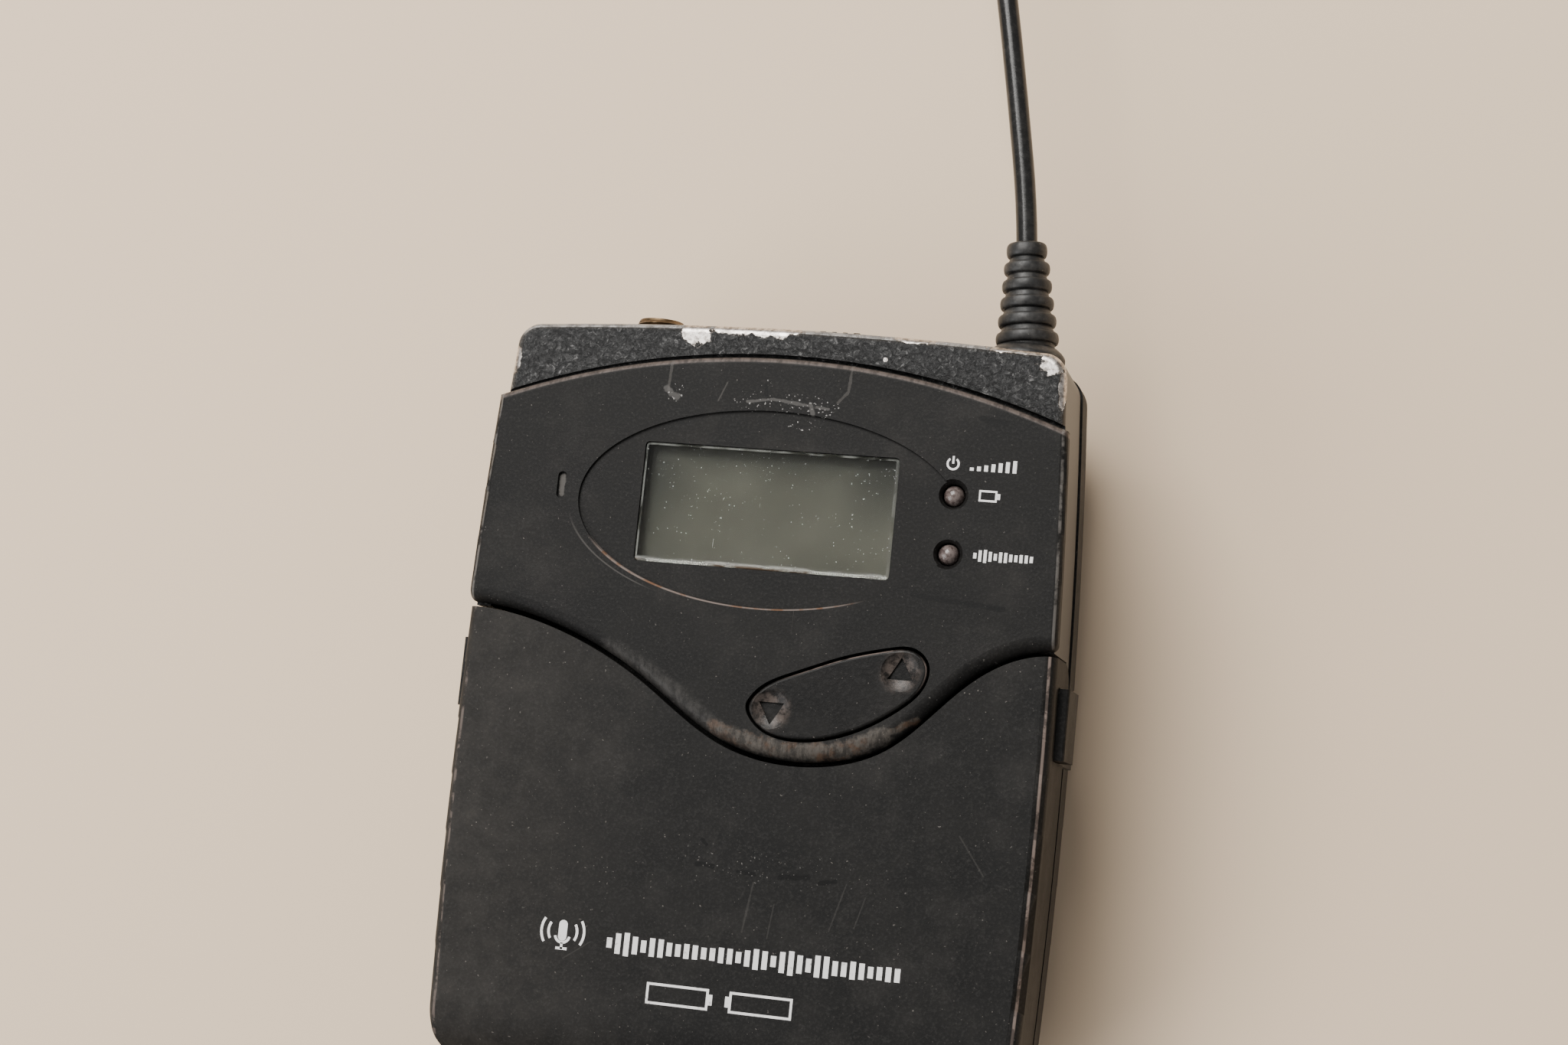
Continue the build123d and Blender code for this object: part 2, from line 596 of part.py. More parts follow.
def make_main_board():
    """The radio board on its posts over the rear shell."""
    board = block((-21.6, 21.6), (-6.0, 37.2), (MAIN_BOARD_Z - BOARD_SHEET, MAIN_BOARD_Z))
    for x, y in BOARD_SCREWS:
        board -= rod_z(x, y, (0, FRONT_Z), 1.0)
    return board


def make_board_connector():
    """The header that joins the two boards."""
    return block((-12.0, 6.0), (-4.6, -1.4), (MAIN_BOARD_Z, DISPLAY_BOARD_Z - BOARD_SHEET))


def make_board_components():
    """Crystal, regulators, inductors and chips standing on the radio board."""
    places = [(-15.5, 3.0, 6.0, 6.0, 1.6), (-6.0, 5.0, 5.0, 5.0, 1.2), (3.5, 4.0, 7.0, 5.0, 1.4),
              (14.0, 2.0, 4.0, 6.0, 2.4), (17.5, 20.0, 4.0, 7.0, 2.0), (-18.2, 20.0, 3.6, 5.0, 2.2)]
    parts = [block((x - w / 2, x + w / 2), (y - d / 2, y + d / 2), (MAIN_BOARD_Z, MAIN_BOARD_Z + h))
             for x, y, w, d, h in places]
    return Compound(parts)


def make_rf_shield():
    """The pressed can over the radio stage."""
    sheet = 0.4
    height = 3.2
    top_z = MAIN_BOARD_Z + height
    half_w = 13.5
    low_y, high_y = 10.5, 26.5
    can = block((-half_w, half_w), (low_y, high_y), (MAIN_BOARD_Z, top_z))
    inner_w = half_w - sheet
    return can - block((-inner_w, inner_w), (low_y + sheet, high_y - sheet), (0, top_z - sheet))


def make_led(y):
    """A small lamp with a domed nose standing on the display board."""
    nose_z = FRONT_Z - 1.35
    lamp = rod_z(LED_X, y, (DISPLAY_BOARD_Z, nose_z), LED_R)
    base = rod_z(LED_X, y, (DISPLAY_BOARD_Z, PANEL_BACK_Z - 1.2), LED_R + 0.3)
    return lamp + base + Pos(LED_X, y, nose_z) * Sphere(LED_R)


# ---------------------------------------------------------------- sockets and antenna
def make_mic_jack_body():
    """The socket body inside the case, bored for the plug."""
    floor_y = COLLAR_TOP_Y - JACK_DEPTH
    body = block((JACK_X - 3.9, JACK_X + 3.9), (floor_y - 1.0, 37.0), (PORT_Z - 3.1, PORT_Z + 3.1))
    return body - rod_y(JACK_X, (floor_y, 40), PORT_Z, JACK_BORE_R)


def make_mic_jack_collar():
    """The threaded brass collar around the socket's mouth."""
    collar = rod_y(JACK_X, (37.0, COLLAR_TOP_Y), PORT_Z, COLLAR_R)
    collar = chamfer(collar.edges().sort_by(Axis.Y)[-1], 0.3)
    nut = rod_y(JACK_X, (37.0, 37.9), PORT_Z, COLLAR_R + 0.7)
    return collar + nut - rod_y(JACK_X, (30, 50), PORT_Z, JACK_BORE_R)


def make_antenna_ferrule():
    """The threaded metal foot of the antenna, clamped in the end wall."""
    foot = rod_y(ANTENNA_X, (35.0, FLANGE_Y - 0.05), PORT_Z, FERRULE_R)
    foot += rod_y(ANTENNA_X, (35.0, 37.6), PORT_Z, 3.4)
    return foot - rod_y(ANTENNA_X, (34.0, 42.0), PORT_Z, CORE_R + 0.1)


def lean_place():
    """The boot's own axes: its Y runs up the leaning centre line from the base flange."""
    return Pos(ANTENNA_X, BOOT_BASE_Y, PORT_Z) * Rot(0, 0, BOOT_LEAN)


def make_antenna_boot():
    """The moulded strain relief: a domed flange and a tapering stack of ribs."""
    neck_loss = 0.5
    bore_r = WHIP_R + 0.02
    outline = [(bore_r, -0.4), (3.3, -0.4), (3.3, 0.3)]
    for number, rib_r in enumerate(RIB_RADII):
        low = 0.3 + number * RIB_PITCH
        outline += [(rib_r - neck_loss, low + 0.15), (rib_r - 0.12, low + 0.35),
                    (rib_r, low + 0.85), (rib_r - 0.15, low + 1.35), (rib_r - neck_loss, low + 1.65)]
    top = BOOT_TOP_LENGTH
    outline += [(1.85, top - 1.75), (2.15, top - 1.55), (2.25, top - 0.9), (2.1, top - 0.3),
                (1.75, top), (bore_r, top)]
    stack = revolve(make_face(Polyline(*outline, close=True)), Axis.Y)
    steps = [(0, 0), (4.2, 0), (4.2, 0.35), (3.9, 0.9), (3.3, 1.5), (0, 1.75)]
    rim = Polyline(*[(x, FLANGE_Y + rise) for x, rise in steps], close=True)
    flange = revolve(make_face(rim), Axis.Y)
    boot = Pos(ANTENNA_X, 0, PORT_Z) * flange + lean_place() * stack
    boot -= rod_y(ANTENNA_X, (FLANGE_Y - 1, BOOT_BASE_Y - 0.2), PORT_Z, CORE_R + 0.1)
    return boot - lean_place() * rod_y(0, (-0.4, top + 1), 0, bore_r)


def whip_path():
    """The whip's centre line: straight in the boot, then gentle arcs leaning towards -X."""
    place = lean_place()
    start = (place * Pos(0, 0, 0)).position
    top = (place * Pos(0, BOOT_TOP_LENGTH - 0.2, 0)).position
    path = [Line(start, top)]
    for radius, turn in WHIP_ARCS:
        path.append(JernArc(start=path[-1] @ 1, tangent=path[-1] % 1, radius=radius, arc_size=turn))
    return path


def swept(path, section):
    """A flat section, drawn about the origin, carried along a smooth path."""
    start = path[0]
    return sweep(Plane(origin=start @ 0, z_dir=start % 0) * section, path=Wire(path))


def make_antenna_whip():
    """The sheath of the whip."""
    return swept(whip_path(), Circle(WHIP_R) - Circle(CORE_R + 0.03))


def make_antenna_core():
    """The spring-steel wire inside the sheath, down to the ferrule."""
    core = swept(whip_path(), Circle(CORE_R))
    foot = rod_y(ANTENNA_X, (36.0, BOOT_BASE_Y), PORT_Z, CORE_R)
    return core + foot + Pos(ANTENNA_X, BOOT_BASE_Y, PORT_Z) * Sphere(CORE_R)


def make_antenna_tip():
    """The rounded cap on the whip's end."""
    end = whip_path()[-1]
    place = Plane(origin=end @ 1, z_dir=end % 1)
    cap = place * (Pos(0, 0, 0.05) * Cylinder(1.5, 3.0, align=(Align.CENTER, Align.CENTER, Align.MIN)))
    return fillet(cap.edges().filter_by(GeomType.CIRCLE).sort_by(Axis.Y)[-1], 1.0)


# ---------------------------------------------------------------- batteries
def make_battery_tray():
    """The open cradle for two cells: floor, end walls, ridge and the wall towards the boards."""
    low_y, high_y = -34.6, -6.9
    sheet = 0.9
    floor_z = BACK_Z + WALL + 0.1
    floor_x = 26.6
    ridge_y = sum(CELL_Y.values()) / 2
    tray = block((-floor_x, floor_x), (low_y, high_y), (floor_z, floor_z + sheet))
    tray += block((-floor_x, floor_x), (high_y - sheet, high_y), (floor_z, DECK_Z - DECK_SHEET - 0.1))
    tray += block((-20, 20), (ridge_y - 0.4, ridge_y + 0.4), (floor_z, BACK_Z + 5.0))
    wall_foot_z = floor_z + 1.0
    wall_y = (low_y + 0.4, high_y)
    wall = block((TRAY_END_X, TRAY_END_X + sheet), wall_y, (wall_foot_z, BACK_Z + 16.0))
    wall += block((floor_x - 0.5, TRAY_END_X + sheet), wall_y, (wall_foot_z - 0.3, wall_foot_z + 0.3))
    for end in both_sides(wall):
        tray += end
    return tray


def cell_ends():
    """For each cell, the side its raised end points to."""
    return {"cell_upper": 1, "cell_lower": -1}


def make_cell(name):
    """A cylindrical cell with its raised end."""
    y = CELL_Y[name]
    side = cell_ends()[name]
    half = CELL_BODY / 2
    middle = -side * NUB_H / 2
    body = rod_x((middle - half, middle + half), y, CELL_Z, CELL_R)
    body = fillet(body.edges().filter_by(GeomType.CIRCLE), 0.5)
    nub = rod_x(sorted((middle + side * half, middle + side * (half + NUB_H))), y, CELL_Z, NUB_R)
    return body + nub


def make_contact_plates():
    """Four plated contacts, one at each end of each cell."""
    plates = []
    for y in CELL_Y.values():
        for side in (-1, 1):
            plates.append(block(sorted((side * (TRAY_END_X - 0.35), side * TRAY_END_X)),
                                (y - 4.5, y + 4.5), (CELL_Z - 4.5, CELL_Z + 4.5)))
    return Compound(plates)


def make_contact_springs():
    """The coil springs that press on the flat ends of the cells."""
    springs = []
    wire = 0.3
    for name, side in cell_ends().items():
        plate_x = TRAY_END_X - 0.35
        cell_x = CELL_BODY / 2 + NUB_H / 2
        length = plate_x - cell_x - 2 * wire
        path = Helix(pitch=length / 2.0, height=length, radius=3.0)
        coil = sweep(Plane(origin=path @ 0, z_dir=path % 0) * Circle(wire), path=path, is_frenet=True)
        coil = Pos(cell_x + wire, CELL_Y[name], CELL_Z) * Rot(0, 90, 0) * coil
        springs.append(coil if side < 0 else mirror(coil, Plane.YZ))
    return Compound(springs)


# ---------------------------------------------------------------- hinge pin, clip and screws
def make_hinge_pin():
    """The steel pin through the three barrels."""
    return rod_x((-PIN_END_X, PIN_END_X), HINGE_Y, HINGE_Z, PIN_R)


def make_belt_clip():
    """The sprung steel clip: cross band, arms round the sides, pins, and a tongue down the back."""
    low_y, high_y = CLIP_ARM_Y
    bend = 2.2
    band = block((-ARM_OUT_X, ARM_OUT_X), CLIP_ARM_Y, (0, CLIP_PIN_Z + 1.4))
    band = fillet(band.edges().filter_by(Axis.Y).sort_by(Axis.Z)[:2], bend)
    band = fillet(band.edges().filter_by(Axis.X).group_by(Axis.Z)[-1], 1.3)
    inner_x = ARM_OUT_X - ARM_SHEET
    inside = block((-inner_x, inner_x), (low_y - 1, high_y + 1), (CLIP_SHEET, FRONT_Z))
    inside = fillet(inside.edges().filter_by(Axis.Y).sort_by(Axis.Z)[:2], bend - 1.0)
    band -= inside
    middle_y = (low_y + high_y) / 2
    pin = rod_x((PIN_SEAT_X + 0.3, ARM_OUT_X - 0.2), middle_y, CLIP_PIN_Z, CLIP_PIN_R)
    tongue = RectangleRounded(2 * TONGUE_HALF_W, high_y - TONGUE_END_Y, 3.5)
    clip = band + slab(Pos(0, (TONGUE_END_Y + high_y) / 2) * tongue, (0, CLIP_SHEET))
    for end in both_sides(pin):
        clip += end
    ridge = Pos(0, TONGUE_END_Y + 4.5) * RectangleRounded(24, 1.6, 0.7)
    ridge = slab(ridge, (CLIP_SHEET - 0.1, CLIP_SHEET + 0.5))
    return clip + ridge


def make_screw(place, head_z, head_h, head_r, shank_r, length, up):
    """A cross-head screw; up is the way its head faces along Z."""
    x, y = place
    slot_half_w = 0.2
    slot_reach = head_r * 0.6
    slot_depth = head_h * 0.55
    head = rod_z(x, y, sorted((head_z, head_z - up * head_h)), head_r)
    tip = head_z - up * (head_h + length)
    shank = rod_z(x, y, sorted((head_z - up * head_h * 0.9, tip)), shank_r)
    slot_z = sorted((head_z + up * 0.1, head_z - up * slot_depth))
    bar = block((x - slot_reach, x + slot_reach), (y - slot_half_w, y + slot_half_w), slot_z)
    cross = block((x - slot_half_w, x + slot_half_w), (y - slot_reach, y + slot_reach), slot_z)
    return head + shank - bar - cross


def make_housing_screws():
    """The four screws that join the rear shell to the frame."""
    screws = [make_screw(place, BACK_Z + 0.4, 1.5, 2.2, 1.2, 13.0, -1) for place in CASE_SCREWS]
    return Compound(screws)


def make_board_screws():
    """The three screws that hold the radio board."""
    screws = [make_screw(place, MAIN_BOARD_Z + 0.9, 0.9, 1.6, 0.72, 3.6, 1) for place in BOARD_SCREWS]
    return Compound(screws)


# ---------------------------------------------------------------- write every piece
def all_parts():
    """Every piece by its node name."""
    parts = {
        "rear_shell": make_rear_shell(),
        "chassis_frame": make_chassis_frame(),
        "front_panel": make_front_panel(),
        "rear_label": make_rear_label(),
        "battery_cover": make_battery_cover(),
        "catch_left": make_catch(-1),
        "catch_right": make_catch(1),
        "catch_spring_left": make_catch_spring(-1),
        "catch_spring_right": make_catch_spring(1),
        "rocker_button": make_rocker_button(),
        "rocker_saddle": make_rocker_saddle(),
        "switch_domes": make_switch_domes(),
        "mute_switch_body": make_mute_switch_body(),
        "mute_knob": make_mute_knob(),
        "lcd_window": make_lcd_window(),
        "lcd_module": make_lcd_module(),
        "lcd_holder": make_lcd_holder(),
        "lcd_strips": make_lcd_strips(),
        "display_board": make_display_board(),
        "main_board": make_main_board(),
        "board_connector": make_board_connector(),
        "board_components": make_board_components(),
        "rf_shield": make_rf_shield(),
        "mic_jack_body": make_mic_jack_body(),
        "mic_jack_collar": make_mic_jack_collar(),
        "antenna_ferrule": make_antenna_ferrule(),
        "antenna_boot": make_antenna_boot(),
        "antenna_whip": make_antenna_whip(),
        "antenna_core": make_antenna_core(),
        "antenna_tip": make_antenna_tip(),
        "battery_tray": make_battery_tray(),
        "contact_plates": make_contact_plates(),
        "contact_springs": make_contact_springs(),
        "hinge_pin": make_hinge_pin(),
        "belt_clip": make_belt_clip(),
        "housing_screws": make_housing_screws(),
        "board_screws": make_board_screws(),
    }
    for name, place in button_places().items():
        parts[name] = make_deck_button(place)
    for name, y in LED_Y.items():
        parts[name] = make_led(y)
    for name in CELL_Y:
        parts[name] = make_cell(name)
    return parts


for node, shape in all_parts().items():
    export_step(shape, f"parts/{node}.step")
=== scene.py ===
import bpy
import bmesh
import json
import math
from mathutils import Matrix, Vector


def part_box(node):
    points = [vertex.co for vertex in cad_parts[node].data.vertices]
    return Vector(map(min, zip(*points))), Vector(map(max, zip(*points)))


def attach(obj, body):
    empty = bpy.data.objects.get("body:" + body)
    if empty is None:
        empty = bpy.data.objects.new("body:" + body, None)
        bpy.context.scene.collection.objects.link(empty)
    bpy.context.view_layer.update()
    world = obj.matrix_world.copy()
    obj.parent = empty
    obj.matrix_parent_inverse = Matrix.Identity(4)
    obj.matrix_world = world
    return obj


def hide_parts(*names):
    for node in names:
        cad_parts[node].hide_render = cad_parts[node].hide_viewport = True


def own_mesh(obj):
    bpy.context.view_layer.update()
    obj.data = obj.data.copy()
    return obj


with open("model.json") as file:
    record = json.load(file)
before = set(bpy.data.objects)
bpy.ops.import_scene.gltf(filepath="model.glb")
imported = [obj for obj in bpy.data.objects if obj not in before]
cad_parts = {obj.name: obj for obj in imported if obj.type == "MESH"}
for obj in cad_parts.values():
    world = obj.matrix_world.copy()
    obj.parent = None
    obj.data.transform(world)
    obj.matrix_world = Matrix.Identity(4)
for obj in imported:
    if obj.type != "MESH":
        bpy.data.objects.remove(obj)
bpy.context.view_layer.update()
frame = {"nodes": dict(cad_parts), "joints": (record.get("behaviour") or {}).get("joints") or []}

MM = 0.001

# ---------------------------------------------------------------- places, worked out from the frame
PANEL_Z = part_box("front_panel")[1].z
COVER_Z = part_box("battery_cover")[1].z
BAND_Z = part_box("chassis_frame")[1].z
WINDOW_LOW, WINDOW_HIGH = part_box("lcd_window")
DISPLAY_MIDDLE = (WINDOW_LOW + WINDOW_HIGH) / 2
COLLAR_LOW, COLLAR_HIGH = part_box("mic_jack_collar")
FERRULE_LOW, FERRULE_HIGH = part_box("antenna_ferrule")
BOOT_FOOT_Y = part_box("antenna_boot")[0].y
ARCH_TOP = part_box("front_panel")[1].y
JOINTS = {joint["name"]: joint for joint in frame["joints"]}

# Sizes that the frame's boxes don't give
ARCH_R = 0.085                  # radius of the panel's arched upper edge, m
RING_HALF = (20.7, 10.5)        # the oval recess round the display, mm
TOUCH_SPAN = 7.1                # from the rocker's centre to each press point, mm
BOOT_LEAN = math.radians(5.4)
CASE_HALF_W = 0.0320            # at mid-height, m
SIDE_LEAN = 0.0084              # how the side walls draw in: slope at mid-height
SIDE_BOW = 0.77                 # and curvature, 1/m

EDGE_GRAIN = 0.0009             # how coarse the ragged outline of a worn patch is, m


# ---------------------------------------------------------------- shader helpers
class Shader:
    """A material under construction, with one Principled shader."""

    def __init__(self, name, **sockets):
        self.material = bpy.data.materials.new(name)
        self.material.use_nodes = True
        self.tree = self.material.node_tree
        self.shader = self.tree.nodes["Principled BSDF"]
        for socket, value in sockets.items():
            self.shader.inputs[socket.replace("_", " ")].default_value = value
        coord = self.tree.nodes.new("ShaderNodeTexCoord")
        self.place = coord.outputs["Object"]
        self.facing = coord.outputs["Normal"]
        self.x = self.axis("X")
        self.y = self.axis("Y")
        self.z = self.axis("Z")
        self.wobble = None

    def node(self, kind, inputs=(), **settings):
        """A node with its settings; inputs maps a socket to a value or to another output."""
        made = self.tree.nodes.new("ShaderNode" + kind)
        for key, value in settings.items():
            setattr(made, key, value)
        for key, value in dict(inputs).items():
            self.put(made.inputs[key], value)
        return made

    def put(self, socket, value):
        if isinstance(value, bpy.types.NodeSocket):
            self.tree.links.new(value, socket)
        else:
            socket.default_value = value

    def math(self, operation, a, b=0.0):
        return self.node("Math", {0: a, 1: b}, operation=operation).outputs[0]

    def minus(self, a, b):
        return self.math("SUBTRACT", a, b)

    def plus(self, a, b):
        return self.math("ADD", a, b)

    def size_of(self, value):
        """A value without its sign."""
        return self.math("ABSOLUTE", value)

    def vector(self, operation, a, b=(0, 0, 0), output=0):
        return self.node("VectorMath", {0: a, 1: b}, operation=operation).outputs[output]

    def axis(self, name, vector=None):
        """One part of a vector, by default of the place on the object in metres."""
        split = self.node("SeparateXYZ", {0: self.place if vector is None else vector})
        return split.outputs[name]

    def noise(self, size, detail=2.0, rough=0.5, stretch=(1, 1, 1), shift=(0, 0, 0), distort=0.0):
        """Noise whose features are about size metres across, drawn out along an axis by stretch."""
        scale = tuple(1 / (size * s) for s in stretch)
        mapped = self.node("Mapping", {"Vector": self.place, "Scale": scale, "Location": shift})
        made = self.node("TexNoise", {"Vector": mapped.outputs[0], "Scale": 1.0, "Detail": detail,
                                      "Roughness": rough, "Distortion": distort})
        return made.outputs["Fac"]

    def ramp(self, value, low, high, to_low=0.0, to_high=1.0):
        """Value carried smoothly from low..high to to_low..to_high."""
        made = self.node("MapRange", {"Value": value, "From Min": low, "From Max": high,
                                      "To Min": to_low, "To Max": to_high},
                         interpolation_type="SMOOTHSTEP")
        return made.outputs["Result"]

    def mix(self, amount, a, b):
        """Two colours mixed by an amount."""
        made = self.node("Mix", {"Factor": amount}, data_type="RGBA")
        self.put(made.inputs[6], a)
        self.put(made.inputs[7], b)
        return made.outputs[2]

    def product(self, *values):
        result = values[0]
        for value in values[1:]:
            result = self.math("MULTIPLY", result, value)
        return result

    def most(self, *values):
        result = values[0]
        for value in values[1:]:
            result = self.math("MAXIMUM", result, value)
        return result

    def ragged(self, amount):
        """A small signed offset that roughens an edge; one noise serves the whole material."""
        if self.wobble is None:
            self.wobble = self.minus(self.noise(EDGE_GRAIN, 4.0, 0.65), 0.5)
        return self.math("MULTIPLY", self.wobble, amount)

    def spot(self, centre, radii, rough=0.8, soft=0.08):
        """1 inside an oval on the front face, given in mm, 0 outside, with a ragged edge."""
        x = self.math("DIVIDE", self.minus(self.x, centre[0] * MM), radii[0] * MM)
        y = self.math("DIVIDE", self.minus(self.y, centre[1] * MM), radii[1] * MM)
        away = self.math("SQRT", self.plus(self.product(x, x), self.product(y, y)))
        return self.ramp(self.plus(away, self.ragged(rough * 2)), 1 + soft, 1 - soft)

    def stroke(self, start, end, width, rough=0.6, soft=0.25):
        """1 along a straight mark on the front face from start to end in mm, 0 away from it."""
        first = Vector((*start, 0)) * MM
        run = Vector((*end, 0)) * MM - first
        flat = self.vector("MULTIPLY", self.place, (1, 1, 0))
        offset = self.vector("SUBTRACT", flat, tuple(first))
        along = self.vector("DOT_PRODUCT", offset, tuple(run / run.length_squared), "Value")
        along = self.node("Clamp", {0: along}).outputs[0]
        reached = self.node("CombineXYZ", {0: self.product(along, run.x), 1: self.product(along, run.y)})
        away = self.vector("DISTANCE", offset, reached.outputs[0], "Value")
        half = width * MM / 2
        away = self.plus(away, self.ragged(half * rough * 4))
        return self.ramp(away, half * (1 + soft), half * (1 - soft))

    def strokes(self, marks):
        """1 along any of several marks, each given as stroke() takes it."""
        return self.most(*[self.stroke(*mark) for mark in marks])

    def spots(self, marks):
        """1 inside any of several ovals, each given as spot() takes it."""
        return self.most(*[self.spot(*mark) for mark in marks])

    def rim(self, low, high):
        """1 on the part of a rounded edge whose slope is between two values of the normal's Z."""
        up = self.axis("Z", self.facing)
        return self.product(self.ramp(up, low - 0.12, low), self.ramp(up, high + 0.004, high))

    def from_side(self, side):
        """How far in from the case's bowed side wall, in metres; side is 1 at +X and -1 at -X."""
        bow = self.plus(self.product(self.y, SIDE_LEAN), self.product(self.y, self.y, SIDE_BOW))
        wall = self.minus(CASE_HALF_W, bow)
        return self.minus(wall, self.product(self.x, side))

    def line(self, distance, place, width):
        """1 where a distance is near a value, over a width, all in metres."""
        away = self.size_of(self.minus(distance, place))
        return self.ramp(away, width * 0.75, width * 0.30)

    def specks(self, size, most, shift):
        """Scattered tiny grains."""
        return self.ramp(self.noise(size, 1.0, 0.5, shift=shift), most, most + 0.04)

    def bump(self, height, strength, distance):
        return self.node("Bump", {"Height": height, "Strength": strength, "Distance": distance}).outputs[0]

    def finish(self, colour=None, roughness=None, normal=None, metallic=None):
        for socket, value in (("Base Color", colour), ("Roughness", roughness),
                              ("Normal", normal), ("Metallic", metallic)):
            if value is not None:
                self.put(self.shader.inputs[socket], value)
        return self.material


def grey(level, warm=0.0):
    """A linear colour near grey."""
    return (level * (1 + warm), level, level * (1 - warm), 1)


# ---------------------------------------------------------------- tones, linear
DUST = grey(0.24, 0.10)
RUBBED = grey(0.15, 0.08)
# Worn brown, also used as a painted highlight on the panel's lip
BROWN_RUB_AND_HIGHLIGHT = (0.125, 0.078, 0.052, 1)
# Worn pink-grey, also used as a painted highlight on rounded edges
PINK_RUB_AND_HIGHLIGHT = (0.26, 0.205, 0.18, 1)
# Warm and rust-brown tones for a worn edge with a painted highlight
WARM_WEAR_AND_HIGHLIGHT = (0.20, 0.16, 0.14, 1)
RUST_BROWN_WEAR_AND_HIGHLIGHT = (0.17, 0.085, 0.045, 1)
# Worn shine, used as a painted sheen in the rocker's dishes
DISH_RUB_AND_PAINTED_SHEEN = (0.135, 0.108, 0.094, 1)
DULL_METAL = (0.26, 0.235, 0.215, 1)
BRIGHT_METAL = (0.74, 0.69, 0.65, 1)
SPRING_TONE = (0.66, 0.65, 0.63)

# ---------------------------------------------------------------- marks of wear and painted highlight on the front, in mm
# Where the panel's lip is rubbed and carries a painted highlight: under the rocker, and down the steep bend
# to its left
LIP_LINE = [(-3.0, -2.0), (1.4, -3.2), (6.4, -3.75), (11.2, -3.0), (14.8, -1.2)]
LIP_TAIL_END = (18.2, 0.8)
BEND_LINE = [(-15.5, 5.3), (-11.0, 3.2), (-7.2, 0.8), (-3.0, -2.1)]

# Each mark is a start, an end and a width
PANEL_SCRATCHES = [((-11.9, 36.6), (-12.0, 33.4), 0.28), ((7.8, 37.4), (7.6, 34.4), 0.30),
                   ((7.6, 34.4), (6.6, 33.2), 0.34), ((-5.6, 34.6), (-6.4, 32.6), 0.14),
                   ((25.6, 7.4), (27.4, 6.4), 0.12)]
SLOT_MARK = [((-22.75, 21.5), (-22.75, 23.3), 0.60)]
PALE_SCUFFS = [((-12.2, 33.6), (-11.0, 32.7), 0.75), ((-3.2, 32.7), (-0.4, 33.1), 0.30),
               ((-0.4, 33.1), (5.6, 32.4), 0.34), ((3.6, 32.9), (4.0, 31.8), 0.42)]
DARK_SCUFFS = [((-11.7, 34.1), (-11.3, 33.3), 0.34), ((-1.3, 34.5), (-1.2, 33.5), 0.42),
               ((4.0, 33.2), (4.1, 32.6), 0.36), ((21.9, 32.5), (24.6, 32.1), 0.65),
               ((16.6, 13.6), (26.0, 12.8), 0.55)]
# Dark marks on the battery cover
COVER_DARK_MARKS = [((-3.6, -16.1), (-1.9, -16.3), 0.55), ((0.8, -16.5), (2.6, -16.6), 0.40),
               ((5.4, -16.6), (8.2, -16.4), 0.60), ((9.6, -16.8), (11.2, -16.5), 0.45),
               ((-3.3, -13.6), (-2.8, -14.1), 0.40)]
COVER_SCRATCHES = [((2.6, -17.5), (1.9, -22.6), 0.20), ((5.0, -19.5), (4.6, -23.0), 0.14),
                   ((12.4, -16.6), (11.0, -21.6), 0.16), ((14.5, -17.8), (13.6, -21.0), 0.14),
                   ((-17.0, -27.4), (-14.2, -25.4), 0.14), ((23.6, -10.6), (26.4, -14.4), 0.16)]

# Grit on the panel: one long streak, and ovals given by centre and half-size
GRIT_STREAK = ((-3.4, 32.9), (5.8, 32.4), 2.0)
GRIT_SPOTS = [((-1.2, 34.1), (0.9, 1.0)), ((3.0, 30.6), (1.6, 0.6)), ((-11.3, 33.2), (0.9, 1.2))]

# Bare patches on the frame's upper edge: centre and half-size
CHIPS = [((-29.1, 40.3), (1.0, 0.7)), ((-29.9, 36.0), (0.55, 1.5)), ((-9.9, 40.1), (1.7, 1.4)),
         ((-5.6, 40.9), (2.6, 1.0)), ((-1.6, 40.8), (2.9, 0.85)), ((-8.0, 41.4), (5.0, 0.5)),
         ((13.8, 40.7), (2.3, 0.5)), ((26.0, 40.2), (4.2, 0.45)), ((28.7, 39.0), (1.6, 1.2)),
         ((29.9, 36.4), (0.45, 1.9)), ((-4.0, 36.9), (0.22, 0.2)), ((10.9, 38.3), (0.3, 0.25))]


# ---------------------------------------------------------------- materials
def moulded_plastic(name, base=0.0065, grain=0.00030, details=None):
    """Soft black moulded plastic: fine grain, faint mottling, dust specks and hair scratches."""
    s = Shader(name, Specular_IOR_Level=0.17)
    fine = s.noise(grain, 5.0, 0.72)
    mottle = s.noise(0.006, 5.0, 0.65)
    colour = s.mix(s.ramp(mottle, 0.3, 0.7), grey(base * 0.70, 0.03), grey(base * 1.30, 0.06))
    colour = s.mix(s.ramp(fine, 0.46, 0.70), colour, grey(base * 2.6, 0.05))
    haze = s.ramp(s.noise(0.010, 5.0, 0.7, shift=(7, 3, 1)), 0.45, 0.75, 0.0, 0.045)
    dust = s.product(s.specks(0.00030, 0.740, (3, 5, 1)), s.ramp(mottle, 0.35, 0.65, 0.10, 0.45))
    hairs = s.ramp(s.noise(0.0005, 2.0, 0.5, (0.35, 14, 1), (9, 2, 4), 0.3), 0.74, 0.80)
    hairs = s.product(hairs, s.ramp(s.noise(0.012, 2.0, 0.5, shift=(1, 7, 3)), 0.5, 0.62))
    colour = s.mix(haze, colour, grey(0.20, 0.10))
    colour = s.mix(dust, colour, DUST)
    colour = s.mix(s.product(hairs, 0.16), colour, RUBBED)
    rough = s.ramp(mottle, 0.3, 0.7, 0.50, 0.60)
    if details:
        colour, rough = details(s, colour, rough)
    height = s.minus(fine, s.product(hairs, 0.5))
    return s.finish(colour, rough, s.bump(height, 0.55, 0.00006))


def along(points, width, soft=0.8):
    """Marks that follow a line of points."""
    return [(start, end, width, 0.5, soft) for start, end in zip(points, points[1:])]


def paint_marks(s, colour, marks, tone, amount):
    """Adds strokes of one tone to a colour."""
    return s.mix(s.product(s.strokes(marks), amount), colour, tone)


